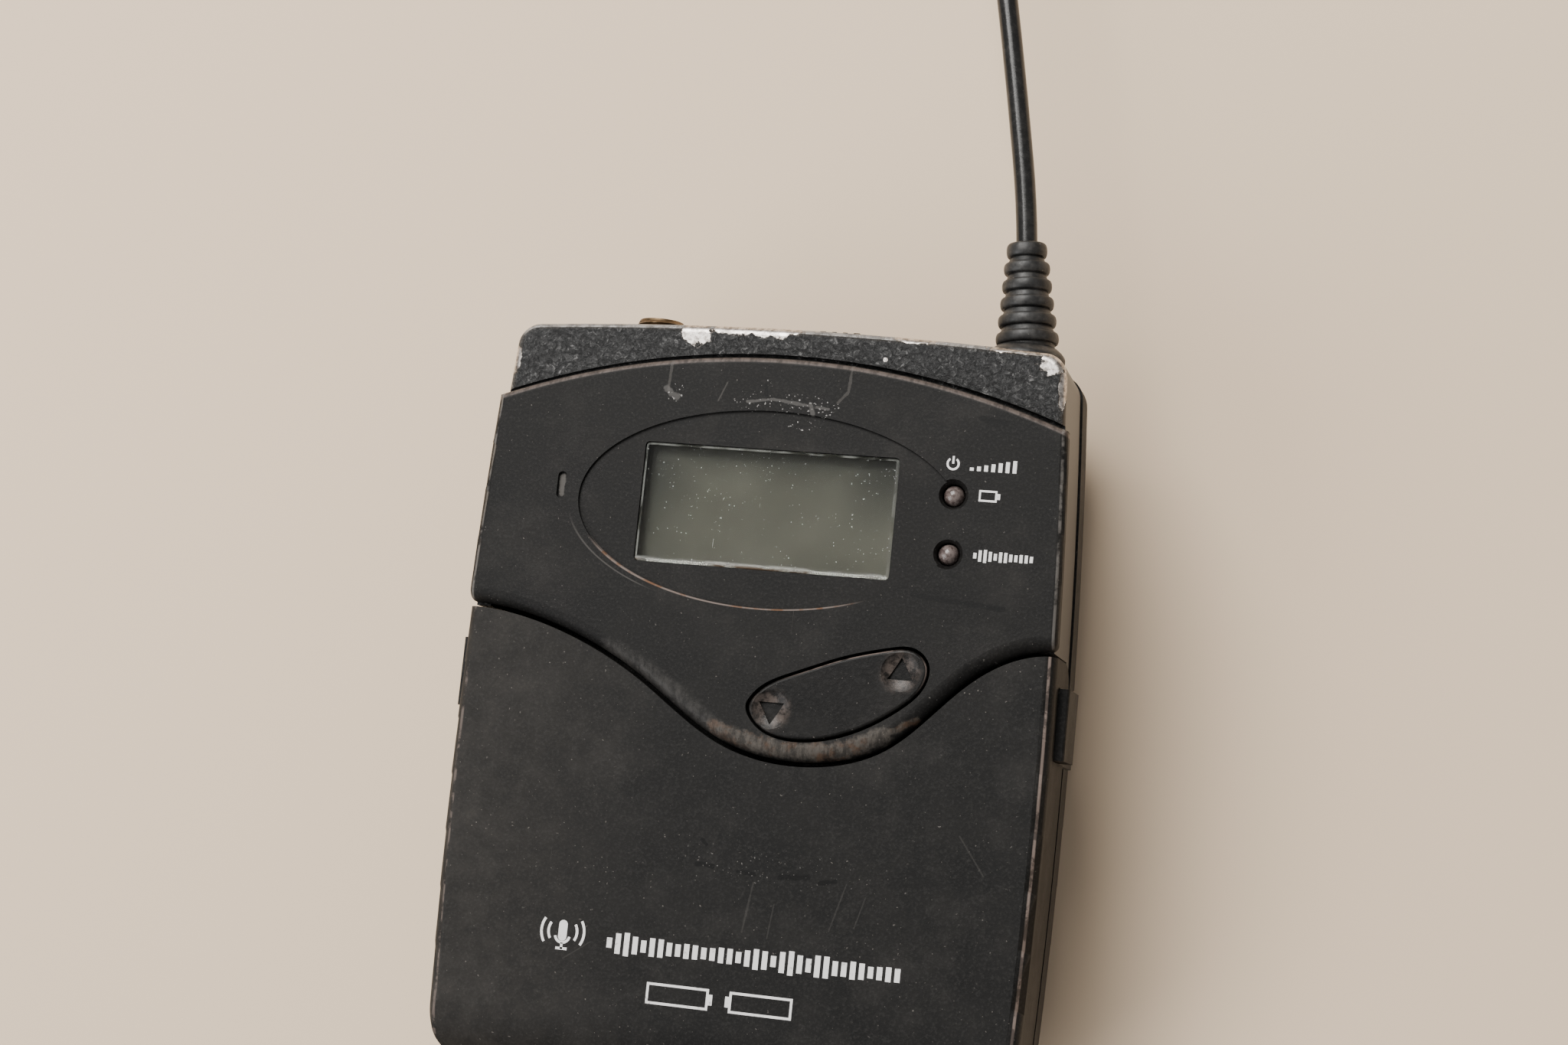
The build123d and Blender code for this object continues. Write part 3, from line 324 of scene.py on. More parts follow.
def panel_details(s, colour, rough):
    """Wear on the front panel, with painted highlights on its arched edge, on the lip under the rocker and
    down the bend, and along the oval's lower edge; also a few scuffs.
    """
    patchy = s.ramp(s.noise(0.0010, 6.0, 0.75, stretch=(0.7, 2.0, 1), shift=(2, 2, 8)), 0.32, 0.66)
    broken = s.ramp(s.noise(0.0030, 4.0, 0.7, shift=(6, 1, 3)), 0.38, 0.54)
    flat = s.vector("MULTIPLY", s.place, (1, 1, 0))
    from_centre = s.vector("DISTANCE", flat, (0, ARCH_TOP - ARCH_R, 0), "Value")
    # Painted highlight with wear along the rounded arched edge
    arch = s.line(s.minus(ARCH_R, from_centre), 0.00036, 0.00044)
    arch = s.product(arch, s.ramp(patchy, 0, 1, 0.35, 0.85))
    # Painted highlight with wear along the lip's rounded edge under the rocker
    tail = s.stroke(LIP_LINE[-1], LIP_TAIL_END, 0.6, 0.5, 0.5)
    lip = s.most(tail, s.strokes(along(LIP_LINE, 1.7, 0.35)))
    lip = s.product(lip, s.ramp(patchy, 0, 1, 0.30, 1.0))
    # Painted sheen with wear down the bend
    bend = s.strokes(along(BEND_LINE, 1.7))
    bend = s.product(bend, s.ramp(patchy, 0, 1, 0.25, 0.85))
    sides = s.plus(*[s.line(s.from_side(side), 0.00045, 0.00026) for side in (1, -1)])
    sides = s.product(sides, broken, s.ramp(s.z, PANEL_Z - 0.0010, PANEL_Z - 0.0006), 0.6)
    colour = s.mix(s.product(arch, 0.45), colour, PINK_RUB_AND_HIGHLIGHT)
    colour = s.mix(s.product(bend, 0.42), colour, grey(0.085, 0.07))
    colour = s.mix(s.product(lip, 0.58), colour, s.mix(broken, BROWN_RUB_AND_HIGHLIGHT, grey(0.115, 0.14)))
    colour = s.mix(sides, colour, RUBBED)
    rough = s.minus(rough, s.product(s.most(lip, bend, arch), 0.18))
    colour = oval_edge(s, colour)
    colour = paint_marks(s, colour, PANEL_SCRATCHES, RUBBED, 0.22)
    colour = paint_marks(s, colour, SLOT_MARK, RUBBED, 0.45)
    colour = paint_marks(s, colour, PALE_SCUFFS, grey(0.13, 0.05), 0.42)
    colour = paint_marks(s, colour, DARK_SCUFFS, grey(0.004), 0.75)
    near = s.most(s.stroke(*GRIT_STREAK), s.spots(GRIT_SPOTS))
    grit = s.product(s.specks(0.00028, 0.66, (5, 5, 5)), near)
    return s.mix(s.product(grit, 0.55), colour, grey(0.48, 0.04)), rough


def oval_edge(s, colour):
    """The lower edge of the oval recess, rubbed and lit by a painted highlight in warm and rust-brown tones,
    and a faint scratch that runs beside it.
    """
    x = s.math("DIVIDE", s.x, RING_HALF[0] * MM)
    y = s.math("DIVIDE", s.minus(s.y, DISPLAY_MIDDLE.y), RING_HALF[1] * MM)
    away = s.math("SQRT", s.plus(s.product(x, x), s.product(y, y)))
    # Painted highlight with wear on the oval's lower edge
    worn_and_lit = s.ramp(s.size_of(s.minus(away, 1.003)), 0.012, 0.004)
    low = s.product(s.ramp(s.y, 0.0175, 0.0145), s.ramp(s.x, 0.012, 0.007))
    brown_patches = s.ramp(s.noise(0.0015, 3.0, 0.6, shift=(1, 1, 4)), 0.45, 0.62)
    colour = s.mix(s.product(worn_and_lit, low, 0.85), colour, s.mix(brown_patches, WARM_WEAR_AND_HIGHLIGHT, RUST_BROWN_WEAR_AND_HIGHLIGHT))
    beside = s.ramp(s.size_of(s.minus(away, 1.055)), 0.008, 0.002)
    left = s.product(s.ramp(s.x, -0.011, -0.014), s.ramp(s.y, 0.020, 0.016))
    return s.mix(s.product(beside, left, 0.30), colour, RUBBED)


def cover_details(s, colour, rough):
    """Wear on the battery cover: both front edges, rubbed and lit by a painted highlight, dark marks, grit,
    scratches and a warmer left side.
    """
    broken = s.ramp(s.noise(0.0028, 5.0, 0.7, shift=(4, 7, 1)), 0.44, 0.56)
    front = s.ramp(s.z, COVER_Z - 0.0012, COVER_Z - 0.0009)
    # Painted highlight with wear along both front edges
    right = s.product(s.line(s.from_side(1), 0.00075, 0.00026), s.ramp(broken, 0, 1, 0.35, 1.0))
    left = s.product(s.line(s.from_side(-1), 0.00080, 0.00030), broken, 0.5)
    colour = s.mix(s.product(s.plus(right, left), front, 0.75), colour, PINK_RUB_AND_HIGHLIGHT)
    colour = paint_marks(s, colour, COVER_DARK_MARKS, grey(0.0015), 0.85)
    grit = s.product(s.specks(0.00026, 0.71, (5, 5, 5)), s.spot((3.5, -15.8), (9, 1.6), 1.2, 0.5))
    colour = s.mix(s.product(grit, 0.28), colour, grey(0.40, 0.06))
    colour = paint_marks(s, colour, COVER_SCRATCHES, RUBBED, 0.10)
    warm = s.ramp(s.x, -0.004, -0.033)
    warm = s.product(warm, s.ramp(s.noise(0.0022, 6.0, 0.75), 0.30, 0.75, 0.35, 1.0), 0.17)
    return s.mix(warm, colour, grey(0.10, 0.13)), rough


def button_details(s, colour, rough):
    """The rocker's press points rubbed to a shine round their sunk triangles and lightened by a painted
    sheen, and its upper edge rubbed and lit by a painted highlight.
    """
    x, y, _ = JOINTS["rocker_tilt"]["pos_m"]
    across_x, across_y, _ = JOINTS["rocker_tilt"]["axis"]
    dish_half = (1.9, 1.9)
    dishes = []
    for end in (-1, 1):
        centre = (x / MM + end * TOUCH_SPAN * across_y, y / MM - end * TOUCH_SPAN * across_x)
        dishes.append((centre, dish_half, 0.25, 0.40))
    above_mark = s.ramp(s.z, PANEL_Z - 0.00057, PANEL_Z - 0.00050)
    dished = s.product(s.spots(dishes), above_mark)
    streaks = s.ramp(s.noise(0.0010, 5.0, 0.65, shift=(2, 6, 2)), 0.38, 0.62, 0.08, 1.0)
    # Painted sheen with wear in the dishes
    colour = s.mix(s.product(dished, streaks, 0.55), colour, DISH_RUB_AND_PAINTED_SHEEN)
    # Painted highlight with wear on the rocker's upper edge
    broken = s.ramp(s.noise(0.003, 3.0, 0.6), 0.40, 0.55)
    edge = s.product(s.rim(0.45, 0.86), broken, s.ramp(s.y, 0.003, 0.006))
    colour = s.mix(s.product(edge, 0.5), colour, PINK_RUB_AND_HIGHLIGHT)
    return colour, s.minus(s.minus(rough, 0.10), s.product(dished, 0.20))


def wrinkled_paint(name):
    """Coarse black wrinkle paint over die-cast metal, with painted highlights on its crests, chipped to
    bright metal, and smooth on the sides.
    """
    s = Shader(name, Specular_IOR_Level=0.60)
    wrinkle = s.noise(0.00060, 6.0, 0.74, distort=1.1)
    fine = s.noise(0.00018, 2.0, 0.5)
    cloud = s.noise(0.0032, 4.0, 0.65, shift=(8, 2, 2))
    painted = s.mix(s.ramp(wrinkle, 0.42, 0.58), grey(0.006), grey(0.036))
    # Painted highlights: light grey on the wrinkle crests, standing in for glints
    painted_glints = s.product(s.ramp(wrinkle, 0.56, 0.64), s.ramp(cloud, 0.38, 0.62, 0.35, 1.0))
    painted = s.mix(painted_glints, painted, grey(0.20, 0.02))
    metal_tone = s.mix(s.ramp(s.noise(0.0006, 5.0, 0.7), 0.38, 0.62), DULL_METAL, BRIGHT_METAL)
    near_edge = s.ramp(s.z, BAND_Z - 0.0015, BAND_Z - 0.0008)
    bare = s.product(s.spots(CHIPS), near_edge)
    sideways = s.size_of(s.axis("X", s.facing))
    top_edge = s.product(s.rim(0.22, 0.90), s.ramp(s.y, 0.0385, 0.0395))
    rubbed = s.product(top_edge, s.ramp(s.noise(0.0013, 5.0, 0.7, shift=(4, 4, 4)), 0.34, 0.58, 0.35, 1.0))
    smooth_side = s.ramp(sideways, 0.70, 0.92)
    texture = s.product(s.minus(1.0, s.most(bare, rubbed)), s.minus(1.0, smooth_side))
    height = s.product(s.plus(wrinkle, s.product(fine, 0.3)), texture)
    height = s.minus(height, s.product(bare, 0.45))
    colour = s.mix(smooth_side, painted, grey(0.010))
    colour = s.mix(rubbed, colour, grey(0.36, 0.02))
    rough = s.minus(0.42, s.plus(s.product(smooth_side, 0.06), s.product(bare, 0.06)))
    metal = s.most(bare, s.product(rubbed, 0.7))
    return s.finish(s.mix(bare, colour, metal_tone), rough, s.bump(height, 1.0, 0.00034), metal)


def inner_plastic(name, base):
    """Plain dark moulding for pieces inside the case."""
    s = Shader(name)
    fine = s.noise(0.0004, 2.0)
    colour = s.mix(s.ramp(fine, 0.3, 0.7), grey(base * 0.85), grey(base * 1.15))
    return s.finish(colour, s.ramp(fine, 0.3, 0.7, 0.45, 0.6), s.bump(fine, 0.2, 0.00005))


def bare_metal(name, tone, rough):
    """Metal with a fine grain and a little tarnish."""
    tarnish = 0.62
    s = Shader(name, Metallic=1.0)
    grain = s.noise(0.0003, 3.0, 0.6)
    stain = s.noise(0.0012, 3.0, 0.6, shift=(5, 1, 2))
    dark = tuple(part * tarnish for part in tone) + (1,)
    colour = s.mix(s.ramp(stain, 0.35, 0.7), tone + (1,), dark)
    return s.finish(colour, s.ramp(grain, 0.3, 0.7, rough * 0.8, rough * 1.3), s.bump(grain, 0.15, 0.00003))


def coated_steel(name):
    """Black coated spring steel, rubbed grey where it slides on a belt."""
    s = Shader(name, Specular_IOR_Level=0.5)
    fine = s.noise(0.0003, 2.0)
    streaks = s.ramp(s.noise(0.0011, 5.0, 0.7, stretch=(1, 9, 1)), 0.56, 0.70)
    rub = s.product(streaks, s.ramp(s.z, 0.0012, 0.0002, 0.06, 0.40))
    colour = s.mix(rub, s.mix(fine, grey(0.012), grey(0.024)), grey(0.34))
    return s.finish(colour, s.minus(0.42, s.product(rub, 0.1)),
                    s.bump(fine, 0.15, 0.00004), s.product(rub, 0.8))


def rubber(name, base, rough, dusty):
    """Black elastomer with a soft sheen and dust held in its surface."""
    s = Shader(name, Specular_IOR_Level=0.45)
    fine = s.noise(0.0004, 3.0, 0.6)
    film = s.ramp(s.noise(0.0013, 4.0, 0.7, shift=(1, 4, 6)), 0.40, 0.72, 0.0, dusty)
    colour = s.mix(film, grey(base), grey(0.12, 0.06))
    colour = s.mix(s.product(s.specks(0.00030, 0.73, (2, 3, 9)), dusty), colour, DUST)
    return s.finish(colour, s.ramp(fine, 0.3, 0.7, rough * 0.85, rough * 1.15), s.bump(fine, 0.14, 0.00006))


def clear_window(name):
    """The display window: clear, faintly grey-green, with dust, scratches, dirt at its lower edge, and a
    painted highlight on its rubbed bevel.
    """
    s = Shader(name, IOR=1.49)
    thick = s.ramp(s.noise(0.004, 3.0, 0.6, shift=(3, 6, 6)), 0.40, 0.62, 0.12, 0.55)
    dust = s.product(s.specks(0.00024, 0.715, (2, 8, 5)), thick)
    # Painted highlight with wear on the bevel: it turns less clear and pale there
    bevel = s.ramp(s.noise(0.0025, 4.0, 0.6, shift=(4, 4, 1)), 0.40, 0.60, 0.0, 0.16)
    bevel = s.product(bevel, s.rim(0.55, 0.85))
    hairs = s.ramp(s.noise(0.0004, 2.0, 0.5, (0.3, 12, 1), (4, 9, 2)), 0.77, 0.82)
    dirt = s.ramp(s.y, WINDOW_LOW.y + 0.0019, WINDOW_LOW.y + 0.0013)
    dirt = s.product(dirt, s.ramp(s.noise(0.0018, 4.0, 0.7, (3, 1, 1)), 0.38, 0.60))
    marks = s.most(dust, s.product(hairs, 0.5), s.product(dirt, 0.8))
    s.put(s.shader.inputs["Transmission Weight"], s.minus(1.0, s.most(bevel, dirt, dust)))
    colour = s.mix(s.most(dust, hairs), (0.86, 0.89, 0.84, 1), grey(0.9))
    colour = s.mix(dirt, colour, (0.16, 0.105, 0.065, 1))
    return s.finish(colour, s.ramp(marks, 0.0, 1.0, 0.06, 0.60))


def display_glass(name):
    """The unlit display: grey-olive, with painted shade towards its left and upper edges and its upper
    right, so that it is lighter in the middle.
    """
    s = Shader(name, Specular_IOR_Level=0.4)
    cloud = s.noise(0.009, 3.0, 0.5)
    colour = s.mix(s.ramp(cloud, 0.3, 0.7), (0.122, 0.110, 0.092, 1), (0.172, 0.156, 0.132, 1))
    high = s.ramp(s.y, DISPLAY_MIDDLE.y - 0.005, WINDOW_HIGH.y - 0.002)
    left = s.ramp(s.x, WINDOW_LOW.x + 0.0095, WINDOW_LOW.x + 0.0015)
    left = s.product(left, s.ramp(high, 0, 1, 0.35, 1.0))
    right = s.product(s.ramp(s.x, WINDOW_HIGH.x - 0.0120, WINDOW_HIGH.x - 0.0030), high)
    top = s.ramp(s.y, WINDOW_HIGH.y - 0.0060, WINDOW_HIGH.y - 0.0012)
    # Painted shade along the display's left, upper and upper right edges
    painted_shade = s.most(s.product(left, 0.90), s.product(top, 0.72), s.product(right, 0.88))
    colour = s.mix(painted_shade, colour, (0.016, 0.015, 0.012, 1))
    return s.finish(colour, s.ramp(cloud, 0.3, 0.7, 0.34, 0.42))


def lamp_resin(name):
    """Clear cast lamp with a faint warm tint."""
    s = Shader(name, Transmission_Weight=0.55, IOR=1.5)
    cloud = s.noise(0.0006, 4.0, 0.6)
    colour = s.mix(s.ramp(cloud, 0.38, 0.62), (0.13, 0.095, 0.088, 1), (0.34, 0.275, 0.255, 1))
    return s.finish(colour, s.ramp(cloud, 0.3, 0.7, 0.12, 0.26))


def laminate(name):
    """Green circuit board with a weave just showing and tinned tracks."""
    s = Shader(name)
    weave = s.noise(0.0006, 2.0, 0.5, stretch=(4, 1, 1))
    tracks = s.ramp(s.noise(0.0012, 1.0, 0.5, stretch=(1, 6, 1)), 0.56, 0.60)
    colour = s.mix(s.ramp(weave, 0.3, 0.7), (0.010, 0.075, 0.032, 1), (0.014, 0.10, 0.045, 1))
    return s.finish(s.mix(tracks, colour, (0.03, 0.16, 0.07, 1)), s.ramp(weave, 0.3, 0.7, 0.3, 0.42),
                    s.bump(tracks, 0.2, 0.00003))


def cell_sleeve(name):
    """The plain two-tone sleeve of a cell, with steel ends."""
    band_x = -0.0085
    end_x = 0.0240
    soft = 0.0002
    s = Shader(name, Specular_IOR_Level=0.6)
    band = s.ramp(s.x, band_x, band_x + soft)
    grain = s.noise(0.003, 3.0)
    sleeve = s.mix(band, (0.30, 0.20, 0.07, 1), s.mix(grain, grey(0.018), grey(0.028)))
    ends = s.ramp(s.size_of(s.x), end_x, end_x + soft)
    rough = s.ramp(grain, 0.3, 0.7, 0.25, 0.33)
    return s.finish(s.mix(ends, sleeve, (0.55, 0.55, 0.53, 1)), rough, metallic=ends)


def blank_foil(name):
    """Blank satin foil of the rear plate."""
    s = Shader(name, Metallic=0.6)
    lines = s.noise(0.0003, 3.0, 0.6, stretch=(10, 1, 1))
    stain = s.noise(0.004, 4.0, 0.6)
    colour = s.mix(s.ramp(stain, 0.35, 0.7), grey(0.42), grey(0.30, 0.03))
    return s.finish(colour, s.ramp(lines, 0.3, 0.7, 0.38, 0.5), s.bump(lines, 0.1, 0.00002))


def white_print(name):
    """Screen-printed white ink, rubbed thin in places."""
    s = Shader(name)
    thin = s.ramp(s.noise(0.0006, 4.0, 0.7), 0.58, 0.72)
    return s.finish(s.mix(thin, grey(0.80, 0.02), grey(0.32, 0.03)), s.ramp(thin, 0, 1, 0.5, 0.6))


def give(material, *nodes):
    """Puts a material on CAD nodes in place of the plain one."""
    for name in nodes:
        mesh = frame["nodes"][name].data
        mesh.materials.clear()
        mesh.materials.append(material)


def dress_frame():
    """Every CAD node gets its procedural material."""
    give(moulded_plastic("panel_plastic", details=panel_details), "front_panel")
    give(moulded_plastic("cover_plastic", details=cover_details), "battery_cover")
    give(moulded_plastic("shell_plastic", base=0.011), "rear_shell")
    give(moulded_plastic("catch_plastic", base=0.008), "catch_left", "catch_right")
    give(moulded_plastic("button_plastic", base=0.0045, grain=0.0005, details=button_details),
         "rocker_button", "set_button", "power_button", "mute_knob")
    give(wrinkled_paint("wrinkled_paint"), "chassis_frame")
    give(inner_plastic("inner_plastic", 0.05), "rocker_saddle", "mute_switch_body", "lcd_holder",
         "board_connector", "mic_jack_body", "battery_tray")
    give(inner_plastic("chip_plastic", 0.02), "board_components", "lcd_strips")
    give(bare_metal("spring_steel", SPRING_TONE, 0.25), "catch_spring_left", "catch_spring_right",
         "antenna_core", "contact_springs", "hinge_pin")
    give(bare_metal("plated_sheet", (0.74, 0.72, 0.68), 0.35), "switch_domes", "rf_shield", "contact_plates")
    give(bare_metal("dark_screw", (0.07, 0.07, 0.07), 0.35), "housing_screws", "board_screws")
    give(bare_metal("old_brass", (0.40, 0.28, 0.14), 0.38), "antenna_ferrule")
    give(coated_steel("coated_steel"), "belt_clip")
    give(rubber("boot_rubber", 0.011, 0.50, 0.30), "antenna_tip")
    give(rubber("whip_rubber", 0.008, 0.24, 0.10), "antenna_whip")
    give(clear_window("clear_window"), "lcd_window")
    give(display_glass("display_glass"), "lcd_module")
    give(lamp_resin("lamp_resin"), "led_power", "led_peak")
    give(laminate("laminate"), "display_board", "main_board")
    give(cell_sleeve("cell_sleeve"), "cell_upper", "cell_lower")
    give(blank_foil("blank_foil"), "rear_label")


# ---------------------------------------------------------------- turned pieces
def lathe(shape, outline, place, segments=96):
    """Adds a closed outline turned about the Y axis; outline gives (radius, y) at each angle."""
    rings = []
    for step in range(segments):
        angle = 2 * math.pi * step / segments
        ring = []
        for radius, y in outline(angle):
            point = Vector((radius * math.cos(angle), y, radius * math.sin(angle))) * MM
            ring.append(shape.verts.new(place @ point))
        rings.append(ring)
    for step, ring in enumerate(rings):
        following = rings[(step + 1) % segments]
        for number in range(len(ring)):
            after = (number + 1) % len(ring)
            shape.faces.new((ring[number], following[number], following[after], ring[after]))


def finish_piece(name, shape, material, body):
    """Makes a mesh object from a bmesh, and says what it moves with."""
    bmesh.ops.recalc_face_normals(shape, faces=shape.faces)
    mesh = bpy.data.meshes.new(name)
    shape.to_mesh(mesh)
    shape.free()
    mesh.materials.append(material)
    piece = bpy.data.objects.new(name, mesh)
    bpy.context.scene.collection.objects.link(piece)
    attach(piece, body)
    return piece


def smooth(piece, sharp_degrees=35):
    """Smooth shading, with edges sharper than an angle left crisp."""
    for face in piece.data.polygons:
        face.use_smooth = True
    piece.data.set_sharp_from_angle(angle=math.radians(sharp_degrees))


def make_boot():
    """The antenna's strain relief: a domed flange and round-edged rings that shrink upwards."""
    ring_radii = (3.4, 3.15, 2.9, 2.7, 2.5)
    first_low = 0.25
    pitch = 1.93
    ring_share = 0.66   # how much of the pitch a ring fills; the rest is the groove above it
    groove = 0.45
    bore = 1.17
    base_y = 1.55       # where the leaning stack starts above the flange's foot
    root_y = -0.4       # its hidden lower end, inside the flange
    head = (9.85, 11.4)     # the plain round end above the rings, low and high
    head_r = 2.2
    head_round = 0.42

    def bulge(radius, low, high, depth):
        """The side of a ring: rounded at both edges and nearly straight between them."""
        steps = 12
        points = []
        for step in range(steps + 1):
            swing = math.pi * (step / steps - 0.5)
            points.append((radius - depth + depth * max(math.cos(swing), 0) ** 0.55,
                           (low + high) / 2 + (high - low) / 2 * math.sin(swing)))
        return points

    def stack(angle):
        outline = [(bore, root_y), (ring_radii[0] - groove, root_y)]
        for number, radius in enumerate(ring_radii):
            low = first_low + number * pitch
            outline += bulge(radius, low, low + ring_share * pitch, groove)
        outline += bulge(head_r, head[0], head[1] - 0.02, head_round)
        return outline + [(bore + 0.25, head[1]), (bore, head[1] - 0.2)]

    def flange(angle):
        return [(bore, 0), (4.15, 0), (4.2, 0.12), (4.2, 0.42), (4.08, 0.72), (3.8, 1.05), (3.45, 1.35),
                (3.1, 1.6), (2.6, 1.7), (bore, 1.75)]

    middle_z = (FERRULE_LOW.z + FERRULE_HIGH.z) / 2
    middle_x = (FERRULE_LOW.x + FERRULE_HIGH.x) / 2
    foot = Matrix.Translation((middle_x, BOOT_FOOT_Y, middle_z))
    base = Matrix.Translation((middle_x, BOOT_FOOT_Y + base_y * MM, middle_z))
    shape = bmesh.new()
    lathe(shape, flange, foot)
    lathe(shape, stack, base @ Matrix.Rotation(BOOT_LEAN, 4, "Z"))
    elastomer = rubber("boot_moulding_rubber", 0.011, 0.46, 0.26)
    piece = finish_piece("boot_moulding", shape, elastomer, "case")
    smooth(piece)
    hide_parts("antenna_boot")


def make_collar():
    """The microphone socket's threaded collar with a real helical thread."""
    pitch = 0.5
    thread_depth = 0.26
    nut_rim = 0.7
    nut_height = 0.9
    outer = (COLLAR_HIGH.x - COLLAR_LOW.x) / 2 / MM - nut_rim
    bore = 1.8
    foot_y = COLLAR_LOW.y / MM
    top_y = COLLAR_HIGH.y / MM
    nut_top = foot_y + nut_height
    rows = 88

    def outline(angle):
        points = [(bore, foot_y), (outer + nut_rim, foot_y), (outer + nut_rim, nut_top),
                  (outer - thread_depth, nut_top)]
        low, high = nut_top + 0.05, top_y - 0.3
        for row in range(rows + 1):
            y = low + (high - low) * row / rows
            phase = (y / pitch + angle / (2 * math.pi)) % 1
            points.append((outer - thread_depth * abs(2 * phase - 1), y))
        return points + [(outer - 0.32, top_y), (bore + 0.2, top_y), (bore, top_y - 0.2)]

    shape = bmesh.new()
    middle = (COLLAR_LOW + COLLAR_HIGH) / 2
    lathe(shape, outline, Matrix.Translation((middle.x, 0, middle.z)), 72)
    brass = bare_metal("tarnished_brass", (0.17, 0.115, 0.065), 0.42)
    piece = finish_piece("collar_threaded", shape, brass, "case")
    smooth(piece, 50)
    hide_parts("mic_jack_collar")


def make_coil(side, material):
    """The spring behind a side catch, which shortens against the cover's rib as the catch is pressed."""
    low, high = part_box(f"catch_spring_{side}")
    middle = (low + high) / 2
    wire = 0.16 * MM
    radius = (high.y - low.y) / 2 - wire
    turns = 3.2
    turn_steps = 28
    wire_sides = 10
    length = high.x - low.x
    steps = round(turns * turn_steps)
    shape = bmesh.new()
    rings = []
    for step in range(steps + 1):
        angle = 2 * math.pi * step / turn_steps
        outward = Vector((0, math.cos(angle), math.sin(angle)))
        x = low.x + wire + (length - 2 * wire) * step / steps
        centre = Vector((x, middle.y, middle.z)) + outward * radius
        ring = []
        for number in range(wire_sides):
            turn = 2 * math.pi * number / wire_sides
            offset = outward * wire * math.cos(turn) + Vector((1, 0, 0)) * wire * math.sin(turn)
            ring.append(shape.verts.new(centre + offset))
        rings.append(ring)
    for ring, following in zip(rings, rings[1:]):
        for number in range(wire_sides):
            after = (number + 1) % wire_sides
            shape.faces.new((ring[number], following[number], following[after], ring[after]))
    shape.faces.new(rings[0])
    shape.faces.new(rings[-1])
    piece = finish_piece(f"catch_coil_{side}", shape, material, "battery_cover")
    smooth(piece)
    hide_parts(f"catch_spring_{side}")
    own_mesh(piece)


def make_coils():
    """Both catch springs, in one steel."""
    steel = bare_metal("coil_steel", SPRING_TONE, 0.25)
    make_coil("left", steel)
    make_coil("right", steel)


# ---------------------------------------------------------------- printed symbols
def bar(x, y):
    """A rectangle from its low and high ends."""
    return [(x[0], y[0]), (x[1], y[0]), (x[1], y[1]), (x[0], y[1])]


def box_outline(x, y, line):
    """The four sides of a hollow rectangle."""
    return [bar((x[0], x[1]), (y[0], y[0] + line)), bar((x[0], x[1]), (y[1] - line, y[1])),
            bar((x[0], x[0] + line), (y[0] + line, y[1] - line)),
            bar((x[1] - line, x[1]), (y[0] + line, y[1] - line))]


def arc(centre, radius, line, start, end, steps=14):
    """A curved stripe as short pieces, between two angles in degrees."""
    pieces = []
    for step in range(steps):
        corners = []
        inner = radius - line
        for number, reach in ((step, radius), (step + 1, radius), (step + 1, inner), (step, inner)):
            angle = math.radians(start + (end - start) * number / steps)
            corners.append((centre[0] + reach * math.cos(angle), centre[1] + reach * math.sin(angle)))
        pieces.append(corners)
    return pieces


def cell_symbol(x, y, line, flip=False):
    """A battery outline with its raised end on one side."""
    middle = (y[0] + y[1]) / 2
    quarter = (y[1] - y[0]) / 4
    nub = (x[0] - line * 1.6, x[0]) if flip else (x[1], x[1] + line * 1.6)
    return box_outline(x, y, line) + [bar(nub, (middle - quarter, middle + quarter))]


def power_symbol(centre, radius, line):
    """A broken ring with an upright bar."""
    upright = bar((centre[0] - line / 2, centre[0] + line / 2), (centre[1], centre[1] + radius * 1.15))
    return arc(centre, radius, line, 125, 415) + [upright]


def level_bars(x, y, count):
    """Bars that rise from left to right."""
    pitch = (x[1] - x[0]) / count
    return [bar((x[0] + number * pitch, x[0] + (number + 0.55) * pitch),
                (y[0], y[0] + (y[1] - y[0]) * (number + 2) / (count + 1))) for number in range(count)]


def wave_bars(x, y, count):
    """Centred bars whose heights swell and fall like a sound wave."""
    pitch = (x[1] - x[0]) / count
    middle = (y[0] + y[1]) / 2
    shapes = []
    for number in range(count):
        swell = 0.42 + 0.58 * abs(math.sin(number * 0.83)) * (0.65 + 0.35 * math.cos(number * 0.29))
        half = (y[1] - y[0]) / 2 * swell
        start = x[0] + number * pitch
        shapes.append(bar((start, x[0] + (number + 0.62) * pitch), (middle - half, middle + half)))
    return shapes


def microphone_symbol(centre, height):
    """An upright capsule on a stand, with sound arcs on both sides."""
    x, y = centre
    head_w = height * 0.15
    line = height * 0.09
    capsule = [bar((x - head_w, x + head_w), (y - height * 0.05, y + height * 0.35))]
    capsule += arc((x, y + height * 0.35), head_w, head_w * 0.98, 0, 180)
    capsule += arc((x, y - height * 0.05), head_w, head_w * 0.98, 180, 360)
    cradle = arc((x, y), height * 0.30, line, 190, 350)
    stand = [bar((x - line / 2, x + line / 2), (y - height * 0.48, y - height * 0.26)),
             bar((x - height * 0.2, x + height * 0.2), (y - height * 0.5, y - height * 0.5 + line))]
    waves = []
    for reach in (0.55, 0.80):
        waves += arc((x, y + height * 0.12), height * reach, line, -32, 32)
        waves += arc((x, y + height * 0.12), height * reach, line, 148, 212)
    return capsule + cradle + stand + waves


def print_on(name, outlines, level, body, material):
    """Raises flat outlines, given in mm, as a thin layer of ink on a level face."""
    ink = 0.012 * MM
    sunk = 0.004 * MM
    shape = bmesh.new()
    for outline in outlines:
        rings = [[shape.verts.new((x * MM, y * MM, z)) for x, y in outline]
                 for z in (level - sunk, level + ink)]
        shape.faces.new(rings[0])
        shape.faces.new(rings[1])
        for number in range(len(outline)):
            after = (number + 1) % len(outline)
            shape.faces.new((rings[0][number], rings[0][after], rings[1][after], rings[1][number]))
    return finish_piece(name, shape, material, body)


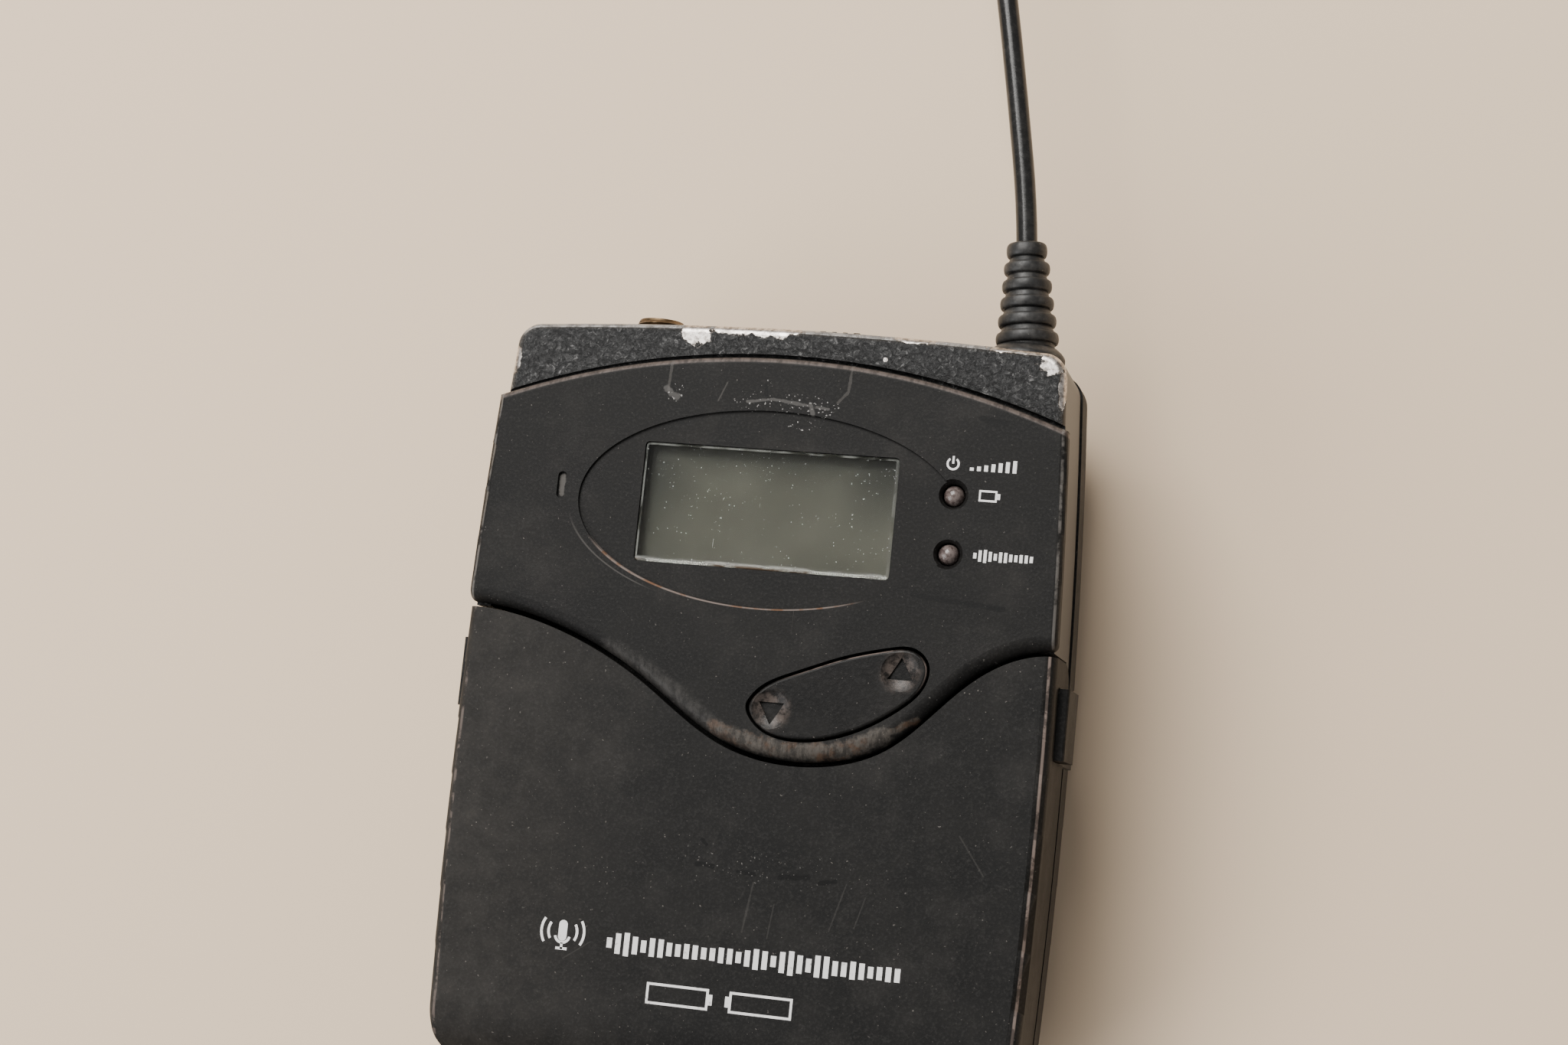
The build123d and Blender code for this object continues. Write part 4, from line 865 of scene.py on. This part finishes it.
def make_prints():
    """Plain symbols in place of the maker's lettering."""
    ink = white_print("white_ink")
    by_lamps = power_symbol((19.4, 27.55), 0.70, 0.22) + level_bars((21.2, 26.4), (26.95, 28.25), 7)
    by_lamps += cell_symbol((22.4, 24.3), (23.8, 25.0), 0.20)
    by_lamps += wave_bars((22.4, 28.8), (17.45, 18.85), 12)
    print_on("print_by_lamps", by_lamps, PANEL_Z, "case", ink)
    on_cover = microphone_symbol((-17.3, -25.0), 3.1) + wave_bars((-12.4, 19.2), (-26.5, -24.0), 34)
    on_cover += cell_symbol((-7.6, -0.9), (-31.0, -28.8), 0.26)
    on_cover += cell_symbol((1.3, 8.0), (-31.0, -28.8), 0.26, flip=True)
    print_on("print_on_cover", on_cover, COVER_Z, "battery_cover", ink)


# ---------------------------------------------------------------- camera, floor and light
def make_camera():
    """A hand-held view of the front: from the right of the case and a little below it, turned clockwise."""
    place = Vector((0.0652, -0.0119, 0.2937))
    target = Vector((0.0021, 0.0201, PANEL_Z))
    roll = math.radians(6.0)
    data = bpy.data.cameras.new("camera")
    data.sensor_width = 36.0
    data.lens = 59.75
    camera = bpy.data.objects.new("camera", data)
    bpy.context.scene.collection.objects.link(camera)
    forward = (target - place).normalized()
    right = forward.cross(Vector((-math.sin(roll), math.cos(roll), 0))).normalized()
    up = right.cross(forward)
    turn = Matrix((right, up, -forward)).transposed()
    camera.matrix_world = Matrix.Translation(place) @ turn.to_4x4()
    bpy.context.scene.camera = camera


def make_floor():
    """A plain pale floor, a hair below the clip's outer face."""
    half_width = 3.0
    drop = 0.0001
    s = Shader("floor_paint")
    cloud = s.noise(0.4, 2.0)
    colour = s.mix(cloud, (0.80, 0.62, 0.44, 1), (0.83, 0.65, 0.47, 1))
    material = s.finish(colour, s.ramp(cloud, 0.3, 0.7, 0.7, 0.75))
    mesh = bpy.data.meshes.new("floor")
    shape = bmesh.new()
    bmesh.ops.create_grid(shape, x_segments=8, y_segments=8, size=half_width)
    shape.to_mesh(mesh)
    shape.free()
    floor = bpy.data.objects.new("floor", mesh)
    floor.location.z = -drop
    mesh.materials.append(material)
    bpy.context.scene.collection.objects.link(floor)


def add_light(name, place, size, power, colour=(1, 1, 1)):
    """A square soft light, turned to the origin."""
    data = bpy.data.lights.new(name, "AREA")
    data.size = size
    data.energy = power
    data.color = colour
    lamp = bpy.data.objects.new(name, data)
    lamp.location = place
    lamp.rotation_mode = "QUATERNION"
    lamp.rotation_quaternion = (-Vector(place)).to_track_quat("-Z", "Y")
    bpy.context.scene.collection.objects.link(lamp)


def make_light():
    """A large soft light over the top end, a fill from the left, and an even pale sky."""
    add_light("key", (-0.25, 0.55, 0.75), 0.6, 14.0, (1.0, 0.98, 0.95))
    add_light("fill", (-0.7, -0.35, 0.6), 0.7, 6.0)
    world = bpy.data.worlds.new("sky")
    world.use_nodes = True
    sky = world.node_tree.nodes["Background"]
    sky.inputs["Color"].default_value = (1.0, 0.98, 0.96, 1)
    sky.inputs["Strength"].default_value = 0.32
    bpy.context.scene.world = world


make_camera()
make_floor()
make_light()
dress_frame()
make_boot()
make_collar()
make_coils()
make_prints()
